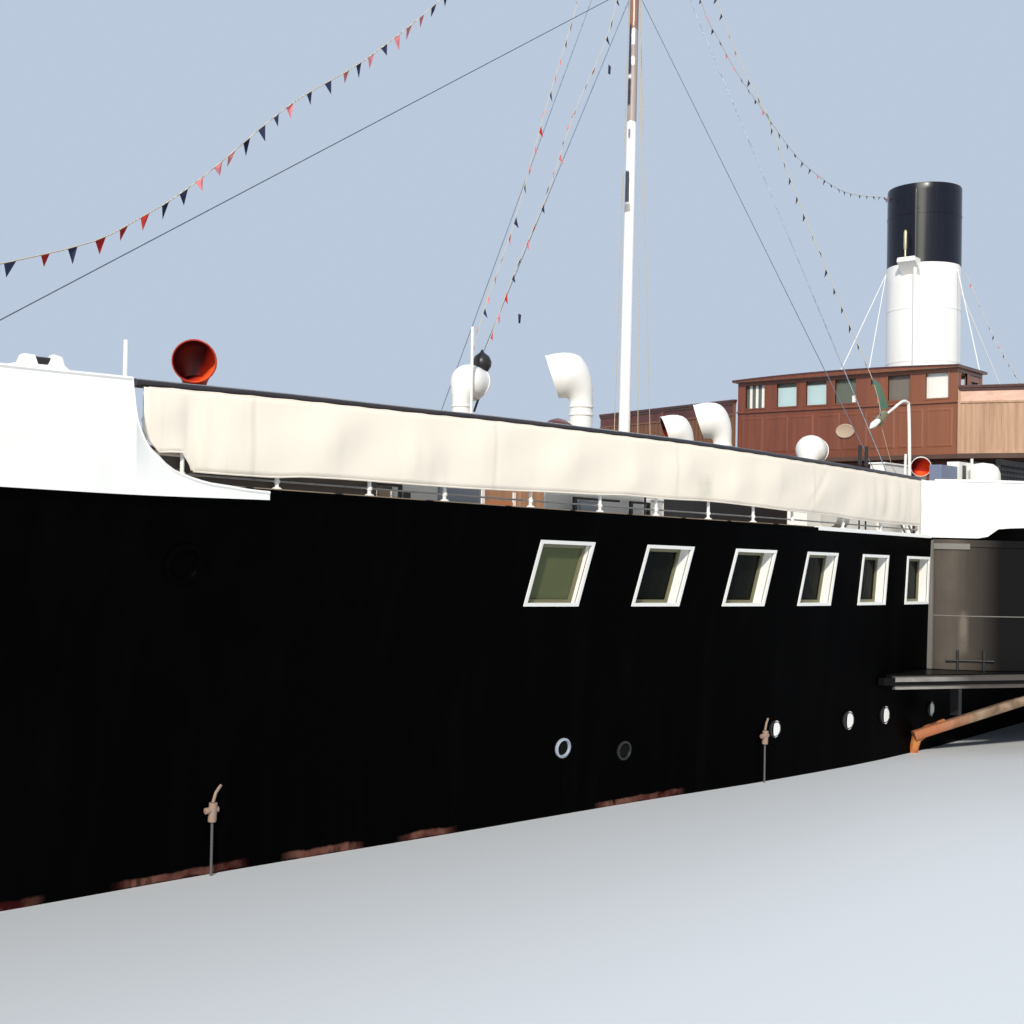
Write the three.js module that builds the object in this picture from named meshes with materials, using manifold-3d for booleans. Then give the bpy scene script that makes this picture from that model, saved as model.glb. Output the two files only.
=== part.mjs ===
// A coastal passenger and car ferry of the 1930s driven by side paddle wheels, as a model at 1:2.
// Every size below is in metres of the full-size ship: the exported group scales them to the model.
// The frame: +X to the bow, +Y to port, +Z up, origin at the waterline amidships.
import * as THREE from "three";
import { mergeVertices } from "three/addons/utils/BufferGeometryUtils.js";
import Module from "manifold-3d";

const wasm = await Module();
wasm.setup();

// Driving dimensions of the full-size ship
const MODEL_MM_PER_METRE = 500;
const GAP = 0.0007; // 0.35 mm between touching pieces of the model
const RUNNING = 0.012; // 6 mm round what moves
const BULWARK_HIGH = 1.0;
const RAIL_HIGH = 1.05;
const AXLE_X = -3.0;
const AXLE_Z = 1.75;
const WHEEL_R = 2.62;
const SPONSON_DECK_Z = 1.4;
const SPONSON_THICK = 0.2;
const SPONSON_Y = 8.5;
const BRIDGE_DECK_Z = 5.62;
const SCREEN_TOP_Z = 7.19;
const FUNNEL_X = -4.5;
const FUNNEL_R = 0.96;
const FUNNEL_TOP_Z = 13.08;
const MAST_X = 9.3;
const MAST_TOP_Z = 20.5;
const RUDDER_X = -28.6;

// Colours, as the photograph shows them
const PAINT = {
  hull: { color: 0x0b0b0d, roughness: 0.35, metalness: 0.1 },
  white: { color: 0xf2f0ea, roughness: 0.45, metalness: 0.0 },
  canvas: { color: 0xe9dfcb, roughness: 0.9, metalness: 0.0 },
  teak: { color: 0x7a3b26, roughness: 0.4, metalness: 0.0 },
  deck: { color: 0x9a7f5f, roughness: 0.8, metalness: 0.0 },
  black: { color: 0x1a1a1e, roughness: 0.4, metalness: 0.2 },
  steel: { color: 0x8f9296, roughness: 0.4, metalness: 0.8 },
  red: { color: 0xa32b1c, roughness: 0.5, metalness: 0.1 },
  brass: { color: 0xb08d3f, roughness: 0.3, metalness: 0.9 },
  glass: { color: 0x9fc0cc, roughness: 0.05, metalness: 0.0 },
  timber: { color: 0x8a6136, roughness: 0.9, metalness: 0.0 },
};

const ship = new THREE.Group();
ship.scale.setScalar(MODEL_MM_PER_METRE);

function addNode(name, geometry, paint) {
  const mesh = new THREE.Mesh(geometry, new THREE.MeshStandardMaterial(PAINT[paint]));
  mesh.name = name;
  ship.add(mesh);
}

// Geometry helpers
function toSolid(geometry) {
  const bare = geometry.clone();
  bare.deleteAttribute("normal");
  bare.deleteAttribute("uv");
  const merged = mergeVertices(bare, 1e-5);
  return new wasm.Manifold(new wasm.Mesh({
    numProp: 3,
    vertProperties: merged.attributes.position.array,
    triVerts: new Uint32Array(merged.index.array),
  }));
}

function toGeometry(solid) {
  const mesh = solid.getMesh();
  const geometry = new THREE.BufferGeometry();
  geometry.setAttribute("position", new THREE.BufferAttribute(mesh.vertProperties, 3));
  geometry.setIndex(new THREE.BufferAttribute(mesh.triVerts, 1));
  geometry.computeVertexNormals();
  return geometry;
}

function join(geometries) {
  return geometries.map(toSolid).reduce((all, one) => all.add(one));
}

function cut(solid, cutters) {
  return cutters.reduce((left, cutter) => left.subtract(cutter), solid);
}

// The main body of a cut solid, without the slivers left at a nose
function largest(solid) {
  return solid.decompose().sort((a, b) => b.volume() - a.volume())[0];
}

function box(x0, x1, y0, y1, z0, z1) {
  const made = new THREE.BoxGeometry(x1 - x0, y1 - y0, z1 - z0);
  return made.translate((x0 + x1) / 2, (y0 + y1) / 2, (z0 + z1) / 2);
}

// A round or square rod from one point to another
function rod(from, to, radius, sides = 8, endRadius = radius) {
  const a = new THREE.Vector3(...from);
  const b = new THREE.Vector3(...to);
  const along = b.clone().sub(a);
  const made = new THREE.CylinderGeometry(endRadius, radius, along.length(), sides);
  made.applyQuaternion(
    new THREE.Quaternion().setFromUnitVectors(new THREE.Vector3(0, 1, 0), along.normalize()));
  const middle = a.add(b).multiplyScalar(0.5);
  return made.translate(middle.x, middle.y, middle.z);
}

// A cylinder along Y, as wheels and shafts are
function drum(x, z, y0, y1, radius, sides) {
  const made = new THREE.CylinderGeometry(radius, radius, y1 - y0, sides);
  return made.translate(x, (y0 + y1) / 2, z);
}

// A closed skin over rings of points, each ring the same length, with a flat fan at both ends.
// The quads are split the mirrored way on the starboard side, so both sides come out alike.
function loft(rings) {
  const count = rings[0].length;
  const points = rings.flat();
  const faces = [];
  for (let r = 0; r + 1 < rings.length; r++) {
    for (let i = 0; i < count; i++) {
      const j = (i + 1) % count;
      const [a, b] = [r * count + i, r * count + j];
      const [c, d] = [a + count, b + count];
      const middle = points[a][1] + points[b][1] + points[c][1] + points[d][1];
      faces.push(...(middle < 0 ? [a, b, c, b, d, c] : [a, b, d, a, d, c]));
    }
  }
  for (const [ring, flip] of [[0, true], [rings.length - 1, false]]) {
    const centre = points.length;
    const sum = rings[ring].reduce((s, p) => [s[0] + p[0], s[1] + p[1], s[2] + p[2]], [0, 0, 0]);
    points.push(sum.map((v) => v / count));
    for (let i = 0; i < count; i++) {
      const [a, b] = [ring * count + i, ring * count + ((i + 1) % count)];
      faces.push(...(flip ? [b, a, centre] : [a, b, centre]));
    }
  }
  const made = new THREE.BufferGeometry();
  made.setAttribute("position", new THREE.Float32BufferAttribute(points.flat(), 3));
  made.setIndex(faces);
  return facingOut(made);
}

function facingOut(geometry) {
  const p = geometry.attributes.position;
  const index = geometry.index.array;
  let volume = 0;
  for (let i = 0; i < index.length; i += 3) {
    const [a, b, c] = [0, 1, 2].map((k) => new THREE.Vector3().fromBufferAttribute(p, index[i + k]));
    volume += a.dot(b.cross(c));
  }
  if (volume < 0) {
    for (let i = 0; i < index.length; i += 3) {
      [index[i + 1], index[i + 2]] = [index[i + 2], index[i + 1]];
    }
  }
  return geometry;
}

function mirrored(geometry) {
  const made = geometry.clone().scale(1, -1, 1);
  if (!made.index) return made;
  return facingOut(made);
}

function bothSides(name, solid, paint) {
  const geometry = toGeometry(solid);
  addNode(`${name}_port`, geometry, paint);
  addNode(`${name}_starboard`, mirrored(geometry), paint);
}

// Hull sections. x: station at the waterline, keel: height of the bottom, floor: half breadth of
// the flat bottom, water: half breadth at the waterline, deck: half breadth at the deck edge
const HULL_SECTIONS = [
  { x: 31.05, keel: -0.75, floor: 0.02, water: 0.06, deck: 0.2 },
  { x: 30.3, keel: -1.3, floor: 0.05, water: 0.42, deck: 1.1 },
  { x: 28.5, keel: -1.4, floor: 0.1, water: 1.12, deck: 2.1 },
  { x: 26.0, keel: -1.4, floor: 0.25, water: 1.92, deck: 2.88 },
  { x: 23.4, keel: -1.4, floor: 0.6, water: 2.54, deck: 3.47 },
  { x: 20.5, keel: -1.4, floor: 1.1, water: 2.95, deck: 3.92 },
  { x: 17.6, keel: -1.4, floor: 1.8, water: 3.46, deck: 4.26 },
  { x: 14.6, keel: -1.4, floor: 2.6, water: 3.95, deck: 4.66 },
  { x: 11.6, keel: -1.4, floor: 3.2, water: 4.52, deck: 5.02 },
  { x: 8.6, keel: -1.4, floor: 3.7, water: 4.9, deck: 5.05 },
  { x: 5.5, keel: -1.4, floor: 4.0, water: 5.03, deck: 5.05 },
  { x: -11.0, keel: -1.4, floor: 4.0, water: 5.03, deck: 5.05 },
  { x: -16.0, keel: -1.4, floor: 3.3, water: 4.83, deck: 5.05 },
  { x: -21.0, keel: -1.4, floor: 1.9, water: 4.2, deck: 4.85 },
  { x: -25.0, keel: -1.4, floor: 0.6, water: 3.2, deck: 4.35 },
  { x: -27.5, keel: -1.4, floor: 0.12, water: 2.35, deck: 3.75 },
  { x: -27.6, keel: -0.5, floor: 0.1, water: 2.3, deck: 3.72 },
  { x: -29.6, keel: -0.4, floor: 0.1, water: 1.4, deck: 2.85 },
  { x: -30.7, keel: -0.3, floor: 0.05, water: 0.75, deck: 1.9 },
  { x: -31.25, keel: -0.15, floor: 0.02, water: 0.15, deck: 0.75 },
];
const STEM = { from: 27, to: 31.05, rake: 0.9, forefoot: 0.5 };
const STERN = { from: -27.6, to: -31.25, rake: -0.7, forefoot: 0 };
const LEVELS_ABOVE = [0, 0.25, 0.5, 0.75, 1]; // shares of the height from water to deck
const LEVELS_BELOW = [1, 0.9, 0.6, 0.25]; // shares of the depth from water to keel

// The sponson houses' outer wall in plan, rounded at both ends
const HOUSE_PLAN = [
  { x: 7.05, y: 4.9 },
  { x: 6.95, y: 5.3 },
  { x: 6.5, y: 6.0 },
  { x: 5.4, y: 7.0 },
  { x: 3.9, y: 7.8 },
  { x: 2.2, y: 8.2 },
  { x: -8.2, y: 8.2 },
  { x: -9.9, y: 7.8 },
  { x: -11.4, y: 7.0 },
  { x: -12.5, y: 6.0 },
  { x: -12.95, y: 5.3 },
  { x: -13.05, y: 4.9 },
];
const HOUSE_ENDS = { forward: 7.05, aft: -13.05 };
const STATIONS = [...new Set([...HULL_SECTIONS, ...HOUSE_PLAN].map((s) => s.x))]
  .sort((a, b) => b - a);

// The height of the deck's edge is straight between the stations, so all decks lie flush on it
function sheerAt(x) {
  return 3.577 + 0.01432 * x + (x > 0 ? 0.00025 : 0.0006) * x * x;
}
function between(list, x, valueOf) {
  const after = list.findIndex((s) => s.x <= x);
  if (after === 0) return valueOf(list[0]);
  if (after < 0) return valueOf(list.at(-1));
  const [a, b] = [list[after - 1], list[after]];
  return valueOf(a) + ((a.x - x) / (a.x - b.x)) * (valueOf(b) - valueOf(a));
}
const SHEER = STATIONS.map((x) => ({ x, z: sheerAt(x) }));
function deckZ(x) {
  return between(SHEER, x, (s) => s.z);
}
function hullColumn(x, column) {
  return between(HULL_SECTIONS, x, (s) => s[column]);
}

// Half breadth of the hull at a station and height, with the flare growing towards the deck
function halfBreadth(x, z) {
  const water = hullColumn(x, "water");
  if (z >= 0) return water + (hullColumn(x, "deck") - water) * (z / deckZ(x)) ** 2;
  const floor = hullColumn(x, "floor");
  const down = Math.min(1, z / hullColumn(x, "keel"));
  return floor + (water - floor) * Math.cbrt(1 - down ** 3);
}

// How far the ends lean out at a height: the raked stem and the rounded stern
function leanedX(x, z) {
  const end = x > 0 ? STEM : STERN;
  const share = THREE.MathUtils.clamp((x - end.from) / (end.to - end.from), 0, 1) ** 2;
  const lean = z >= 0 ? end.rake * (z / deckZ(x)) : -end.forefoot * z * z;
  return x + share * lean;
}

function hullRing(x, extra, lift) {
  const side = [];
  for (const share of LEVELS_BELOW) side.push(hullColumn(x, "keel") * share);
  for (const share of LEVELS_ABOVE) side.push(deckZ(x) * share);
  const port = side.map((z, i) => {
    const top = i === side.length - 1 ? lift : 0;
    return [leanedX(x, z), halfBreadth(x, z) + extra, z + top];
  });
  const starboard = port.map(([px, y, z]) => [px, -y, z]).reverse();
  return [...starboard, ...port];
}

function hullSolid(extra = 0, lift = 0) {
  return toSolid(loft(STATIONS.map((x) => hullRing(x, extra, lift))));
}
const hullClear = hullSolid(GAP, GAP);

// The hull is decked over, so it is one solid up to the promenade deck, bored for the rudder's
// stock and for the paddle shaft
const STOCK = { radius: 0.1, sides: 12, top: 0.49 };
const SHAFT = { radius: 0.19, sides: 16, end: 4.7 };
function boreRadius({ radius, sides }) {
  return (radius + GAP) / Math.cos(Math.PI / sides);
}
const stockBore = rod(
  [RUDDER_X, 0, -1], [RUDDER_X, 0, STOCK.top + GAP], boreRadius(STOCK), STOCK.sides);
const shaftBores = [-1, 1].map((side) => {
  const made = drum(AXLE_X, AXLE_Z, SHAFT.end - GAP, 6, boreRadius(SHAFT), SHAFT.sides);
  return side > 0 ? made : drum(AXLE_X, AXLE_Z, -6, GAP - SHAFT.end, boreRadius(SHAFT), SHAFT.sides);
});
addNode("hull", toGeometry(cut(hullSolid(), [stockBore, ...shaftBores].map(toSolid))), "hull");

// The rudder, hung under the counter on its stock
const rudderBlade = box(RUDDER_X - 1.15, RUDDER_X + 0.45, -0.06, 0.06, -1.38, -0.62);
const rudderStock = rod([RUDDER_X, 0, -1.3], [RUDDER_X, 0, STOCK.top], STOCK.radius, STOCK.sides);
addNode("rudder", toGeometry(join([rudderBlade, rudderStock])), "hull");

// A wall along a path of plan points, each with its own foot and top height
function wallAlong(path, thick) {
  return toSolid(loft(path.map(({ x, y, z0, z1, nx = 0, ny = -1 }) => [
    [x, y, z0],
    [x, y, z1],
    [x + nx * thick, y + ny * thick, z1],
    [x + nx * thick, y + ny * thick, z0],
  ])));
}

// A point on the deck's edge, moved in from it, with the inward direction
function deckEdge(x, inset) {
  const slope = (hullColumn(x - 0.05, "deck") - hullColumn(x + 0.05, "deck")) / 0.1;
  const length = Math.hypot(1, slope);
  const [nx, ny] = [-slope / length, -1 / length];
  return {
    x: leanedX(x, deckZ(x)) + nx * inset, y: hullColumn(x, "deck") + ny * inset, nx, ny };
}

// The white bulwark round the forecastle, with its ends swept down to the deck
const BULWARK = { thick: 0.05 };
const BULWARK_SWEEP = [ // station x and height above the deck
  [20.85, 0.08], [21.16, 0.11], [21.59, 0.16], [21.81, 0.22], [21.95, 0.29], [22.05, 0.36],
  [22.15, 0.46], [22.23, 0.62], [22.27, 0.83], [22.3, 0.995], [22.8, 0.975], [23.4, 0.96],
  [26, 0.97], [28.5, 0.99], [30.3, 1.01], [31.04, 1.03],
];
function forecastleWall(thick, below) {
  const half = BULWARK_SWEEP.map(([x, high]) => (
    { ...deckEdge(x, 0), z0: deckZ(x) + below, z1: deckZ(x) + high }));
  const nose = { ...half.at(-1), x: half.at(-1).x + 0.02, y: 0, nx: -1, ny: 0 };
  const other = half.map((p) => ({ ...p, y: -p.y, ny: -p.ny })).reverse();
  return wallAlong([...half, nose, ...other], thick);
}
addNode("forecastle_bulwark", toGeometry(forecastleWall(BULWARK.thick, 2 * GAP)), "white");

// White bulwarks round the sponsons at promenade deck level
function sponsonWall(thick, below) {
  return wallAlong(HOUSE_PLAN.map(({ x, y }, i) => {
    const before = HOUSE_PLAN[Math.max(0, i - 1)];
    const next = HOUSE_PLAN[Math.min(HOUSE_PLAN.length - 1, i + 1)];
    const [dx, dy] = [next.x - before.x, next.y - before.y];
    const length = Math.hypot(dx, dy);
    const z = deckZ(x);
    return { x, y, nx: -dy / length, ny: dx / length, z0: z + below, z1: z + BULWARK_HIGH };
  }), thick);
}
const insideHull = toSolid(box(-30, 30, 3, 5.06, 0, 9));
bothSides("sponson_bulwark", sponsonWall(BULWARK.thick, GAP).subtract(insideHull), "white");

// Paddle boxes: arched casings over the wheels, with a fan of slots in the outer face
const BOX = { inner: 2.9, outer: 3.0, y0: 5.07, y1: 8.12, face: 0.08 };
function arch(radius, y0, y1, foot) {
  const shape = new THREE.Shape();
  shape.moveTo(radius, foot - AXLE_Z);
  shape.lineTo(radius, 0);
  shape.absarc(0, 0, radius, 0, Math.PI, false);
  shape.lineTo(-radius, foot - AXLE_Z);
  const made = new THREE.ExtrudeGeometry(shape, {
    depth: y1 - y0, bevelEnabled: false, curveSegments: 12 });
  made.rotateX(Math.PI / 2);
  return made.translate(AXLE_X, y1, AXLE_Z);
}
const FAN = { slots: 9, from: 0.85, to: 1.7, wide: 0.18, rise: 0.05 };
function fanSlots() {
  const slots = [];
  for (let i = 0; i < FAN.slots; i++) {
    const slot = box(FAN.from, FAN.to, -1, 1, -FAN.wide / 2, FAN.wide / 2);
    slot.rotateY(-(Math.PI * (i + 0.5)) / FAN.slots);
    slots.push(slot.translate(AXLE_X, BOX.y1, AXLE_Z + FAN.rise));
  }
  return slots.map(toSolid);
}

// Sponsons: the outrigger deck, its guard strake, the houses before and behind the wheel and the
// paddle box between them, all one plated structure against the hull's side
const SPONSON_PLAN = [[8.6, 4.4], [8.6, 5.0], [3.4, SPONSON_Y], [-9.4, SPONSON_Y], [-14.6, 5.0],
  [-14.6, 4.4]];
const GUARD_PLAN = [[8.85, 4.4], [8.85, 5.0], [3.47, 8.65], [-9.47, 8.65], [-14.85, 5.0],
  [-14.85, 4.4]];
const GUARD = { z0: 1.24, z1: 1.36 };
function plate(points, z0, z1) {
  const shape = new THREE.Shape(points.map(([x, y]) => new THREE.Vector2(x, y)));
  const made = new THREE.ExtrudeGeometry(shape, { depth: z1 - z0, bevelEnabled: false });
  return made.translate(0, 0, z0);
}
function sponson() {
  const deck = toSolid(plate(SPONSON_PLAN, SPONSON_DECK_Z - SPONSON_THICK, SPONSON_DECK_Z));
  const strake = toSolid(plate(GUARD_PLAN, GUARD.z0, GUARD.z1));
  const houses = toSolid(loft(HOUSE_PLAN.map(({ x, y }) => {
    const [z0, z1] = [SPONSON_DECK_Z - 0.1, deckZ(x)];
    return [[x, 4.4, z0], [x, y, z0], [x, y, z1], [x, 4.4, z1]];
  })));
  const casing = toSolid(arch(BOX.outer, BOX.y0, BOX.y1, SPONSON_DECK_Z));
  const wheelSpace = toSolid(arch(BOX.inner, 4, BOX.y1 - BOX.face, 0));
  const axleBox = toSolid(drum(AXLE_X, AXLE_Z, BOX.y1 - 0.35, BOX.y1 + 0.1, 0.36, SHAFT.sides));
  const bore = toSolid(drum(
    AXLE_X, AXLE_Z, BOX.y1 - 1, BOX.y1 - 0.05 + GAP, boreRadius(SHAFT), SHAFT.sides));
  const solid = deck.add(strake).add(houses).add(casing).subtract(wheelSpace);
  return cut(cut(solid, fanSlots()).add(axleBox), [bore, hullClear]);
}
bothSides("sponson", sponson(), "hull");

// Promenade deck: a planked slab over the hull and the sponson houses, inside the bulwarks
const DECK = { under: 2 * GAP, over: 0.05, margin: 0.07 };
function slab(under, over, margin) {
  return toSolid(loft(STATIONS.map((x) => {
    const inHouse = x <= HOUSE_ENDS.forward && x >= HOUSE_ENDS.aft;
    const house = inHouse ? between(HOUSE_PLAN, x, (p) => p.y) : 0;
    const y = Math.max(hullColumn(x, "deck"), house) - margin;
    const z = deckZ(x);
    const px = leanedX(x, z);
    return [[px, -y, z + under], [px, y, z + under], [px, y, z + over], [px, -y, z + over]];
  })));
}
function promenadeDeck() {
  const clearOfWall = BULWARK.thick + 3 * GAP;
  const sides = [sponsonWall(clearOfWall, -1), toSolid(arch(
    BOX.outer + GAP, BOX.y0 - GAP, BOX.y1 + GAP, 0))];
  const mirror = sides.map((solid) => solid.mirror([0, 1, 0]));
  return cut(slab(DECK.under, DECK.over, DECK.margin),
    [...sides, ...mirror, forecastleWall(clearOfWall, -1)]);
}
addNode("promenade_deck", toGeometry(largest(promenadeDeck())), "deck");
const deckClear = slab(-1, DECK.over + GAP, -1);

// Raking struts that prop each sponson from the hull at the waterline
function sponsonStrut() {
  const under = SPONSON_DECK_Z - SPONSON_THICK - GAP;
  const strut = toSolid(rod([7.3, 4.6, 0.0], [3.7, 8.15, under + 0.1], 0.15, 8));
  return cut(strut, [hullClear, toSolid(box(0, 12, 3, 9, under, 3))]);
}
bothSides("sponson_strut", sponsonStrut(), "timber");

// Paddle wheels: a shaft, two frames of a rim and arms, and the floats
const FLOATS = 8;
const FRAME_Y = [5.85, 7.6];
const FLOAT = { from: 1.84, y0: 5.35, y1: 7.95, thick: 0.04 };
const RIM = { outer: 1.98, inner: 1.86, thick: 0.04, hub: 0.42 };
function paddleWheel() {
  let made = toSolid(drum(
    AXLE_X, AXLE_Z, SHAFT.end, BOX.y1 - 0.05, SHAFT.radius, SHAFT.sides));
  for (const y of FRAME_Y) {
    const hub = drum(AXLE_X, AXLE_Z, y - 0.16, y + 0.16, RIM.hub, SHAFT.sides);
    const outer = drum(AXLE_X, AXLE_Z, y - RIM.thick, y + RIM.thick, RIM.outer, FLOATS * 2);
    const inner = drum(AXLE_X, AXLE_Z, y - 1, y + 1, RIM.inner, FLOATS * 2);
    made = made.add(toSolid(hub)).add(toSolid(outer).subtract(toSolid(inner)));
  }
  for (let i = 0; i < FLOATS; i++) {
    const parts = [box(FLOAT.from, WHEEL_R, FLOAT.y0, FLOAT.y1, -FLOAT.thick, FLOAT.thick)];
    for (const y of FRAME_Y) parts.push(box(0.3, WHEEL_R - 0.15, y - 0.04, y + 0.04, -0.07, 0.07));
    for (const part of parts) {
      part.rotateY((i * 2 * Math.PI) / FLOATS);
      made = made.add(toSolid(part.translate(AXLE_X, 0, AXLE_Z)));
    }
  }
  return made;
}
bothSides("paddle_wheel", paddleWheel(), "red");

// Rails: a wooden top rail on stanchions, with thinner rods below it
const POST = 0.025;
const RAIL_INSET = 0.16;
const TOP_RAIL = { wide: 0.05, high: 0.035 };
const LOW_ROD = { wide: 0.014, high: 0.014 };
function railBar(path, section, above) {
  return loft(path.map(({ x, y, nx, ny, z }) => [[-1, -1], [1, -1], [1, 1], [-1, 1]].map(([a, b]) => [
    x - nx * section.wide * a, y - ny * section.wide * a, z + above + b * section.high])));
}
function railRun(path, rods) {
  const raised = path.map((p) => ({ ...p, z: p.z + (p.high ?? RAIL_HIGH) }));
  const pieces = [railBar(raised, TOP_RAIL, 0)];
  for (const above of rods) pieces.push(railBar(path, LOW_ROD, above));
  for (const { x, y, z, high } of path) {
    pieces.push(box(x - POST, x + POST, y - POST, y + POST, z, z + (high ?? RAIL_HIGH)));
  }
  return join(pieces).subtract(deckClear);
}
const FORE_RAIL = [ // station x and the rail's height above the deck
  [22.1, 0.955], [20.5, 1.0], [19.05, 1.025], [17.6, 1.055], [16.1, 1.065], [14.6, 1.07],
  [13.1, 1.05], [11.6, 1.03], [10.1, 1.03], [8.6, 1.02], [7.3, 1.01],
];
const forePath = FORE_RAIL.map(([x, high]) => ({ ...deckEdge(x, RAIL_INSET), z: deckZ(x), high }));
bothSides("fore_rail", railRun(forePath, [0.13]), "teak");

// Canvas dodgers laced outside the fore rails
const DODGER = { thick: 0.02 };
const DODGER_INSET = RAIL_INSET - TOP_RAIL.wide - GAP - DODGER.thick;
const DODGER_EDGES = [ // station x and the heights of its lower and upper edges above the deck
  [22.06, 0.4, 0.92], [21.97, 0.3, 0.925], [21.74, 0.19, 0.94], [20.5, 0.19, 0.965],
  [19.05, 0.205, 0.99], [17.6, 0.23, 1.02], [16.1, 0.27, 1.03], [14.6, 0.285, 1.035],
  [13.1, 0.285, 1.015], [11.6, 0.25, 0.995], [10.1, 0.22, 0.995], [8.6, 0.2, 0.985],
  [7.35, 0.18, 0.98],
];
function dodger() {
  return wallAlong(DODGER_EDGES.map(([x, low, high]) => (
    { ...deckEdge(x, DODGER_INSET), z0: deckZ(x) + low, z1: deckZ(x) + high }
  )), DODGER.thick);
}
bothSides("dodger", dodger(), "canvas");

// The rail round the stern, from one sponson to the other
const AFTER_RAIL = [-13.4, -16, -18.5, -21, -23, -25, -27.5, -29.6, -30.9];
function afterRail() {
  const port = AFTER_RAIL.map((x) => ({ ...deckEdge(x, RAIL_INSET), z: deckZ(x) }));
  const starboard = port.map((p) => ({ ...p, y: -p.y, ny: -p.ny })).reverse();
  return railRun([...port, ...starboard], [0.5]);
}
addNode("after_rail", toGeometry(afterRail()), "teak");

// The deckhouse under the bridge, hollow, with its windows and doorways cut
const HOUSE = { front: -0.12, back: -9.2, half: 2.9, wall: 0.08 };
const HOUSE_TOP = BRIDGE_DECK_Z - 0.1 - GAP;
const HOUSE_DOOR = { x0: -7.6, x1: -6.9, z0: 3.62, z1: 5.4, thick: 0.05 };
const HOUSE_WINDOWS = { side: [-1.1, -2.4, -3.7, -5.0, -6.1, -8.3], front: [-1.9, -0.65, 0.65, 1.9],
  wide: 0.62, z0: 4.35, z1: 5.0 };
function deckhouse() {
  const { front, back, half, wall } = HOUSE;
  const outer = toSolid(box(back, front, -half, half, 3.2, HOUSE_TOP));
  const inner = toSolid(box(back + wall, front - wall, wall - half, half - wall, 3, 9));
  const { wide, z0, z1 } = HOUSE_WINDOWS;
  const sideWindows = HOUSE_WINDOWS.side.map(
    (x) => box(x - wide / 2, x + wide / 2, -4, 4, z0, z1));
  const frontWindows = HOUSE_WINDOWS.front.map(
    (y) => box(front - 0.5, front + 0.5, y - wide / 2, y + wide / 2, z0, z1));
  const doors = box(HOUSE_DOOR.x0, HOUSE_DOOR.x1, -4, 4, HOUSE_DOOR.z0, HOUSE_DOOR.z1);
  return cut(outer, [inner, deckClear, ...[...sideWindows, ...frontWindows, doors].map(toSolid)]);
}
addNode("deckhouse", toGeometry(deckhouse()), "teak");

// A side door leaf set in the wall's thickness, with two strap hinges on its after edge, whose
// barrels turn just clear of the wall's face
const BARREL = { radius: 0.024, high: 0.16, strap: 0.3 };
function doorLeaf({ x0, x1, z0, z1, thick }, wallFace) {
  const leaf = box(
    x0 + RUNNING, x1 - RUNNING, wallFace - thick, wallFace - 0.01, z0 + RUNNING, z1 - RUNNING);
  const pivotY = wallFace + BARREL.radius + GAP;
  const straps = [z0 + 0.3, z1 - 0.3].flatMap((z) => [
    rod([x0, pivotY, z - BARREL.high / 2], [x0, pivotY, z + BARREL.high / 2], BARREL.radius, 12),
    box(x0, x0 + BARREL.strap, wallFace + 0.004, pivotY, z - 0.03, z + 0.03),
    box(x0 + 2 * RUNNING, x0 + BARREL.strap, wallFace - 0.02, pivotY, z - 0.03, z + 0.03),
  ]);
  return join([leaf, ...straps]);
}
bothSides("deckhouse_door", doorLeaf(HOUSE_DOOR, HOUSE.half), "teak");

// The bridge deck: over the deckhouse, with wings swept aft to the paddle boxes
const BRIDGE_PLAN = [[0.42, 0], [0.42, 2.89], [-1.2, 8.3], [-2.9, 8.3], [-2.6, 3.1], [-9.4, 3.1],
  [-9.4, 0]];
const PILLARS = [{ x: -2.1, y: 5.3 }, { x: -1.4, y: 7.7 }, { x: -2.6, y: 7.9 }];
const BRIDGE_THICK = 0.1;
function bridgeDeck() {
  const half = toSolid(plate(BRIDGE_PLAN, BRIDGE_DECK_Z - BRIDGE_THICK, BRIDGE_DECK_Z));
  const pillars = PILLARS.map(({ x, y }) => toSolid(rod(
    [x, y, 3.4], [x, y, BRIDGE_DECK_Z - 0.05], 0.05, 8)));
  const keepOut = [deckClear, toSolid(arch(BOX.outer + GAP, BOX.y0 - GAP, BOX.y1 + GAP, 0))];
  const side = cut(pillars.reduce((all, one) => all.add(one), half), keepOut);
  return side.add(side.mirror([0, 1, 0]));
}
addNode("bridge_deck", toGeometry(bridgeDeck()), "deck");

// Plank screens along the front of the bridge wings
const SCREEN = { from: [0.36, 2.9], to: [-1.25, 8.3], thick: 0.05 };
function wingScreen() {
  const [x0, y0] = SCREEN.from;
  const [x1, y1] = SCREEN.to;
  const length = Math.hypot(x1 - x0, y1 - y0);
  const [nx, ny] = [-(y1 - y0) / length, (x1 - x0) / length];
  const ends = { nx, ny, z0: BRIDGE_DECK_Z + GAP, z1: SCREEN_TOP_Z };
  return wallAlong([{ x: x0, y: y0, ...ends }, { x: x1, y: y1, ...ends }], SCREEN.thick);
}
bothSides("wing_screen", wingScreen(), "timber");

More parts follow.
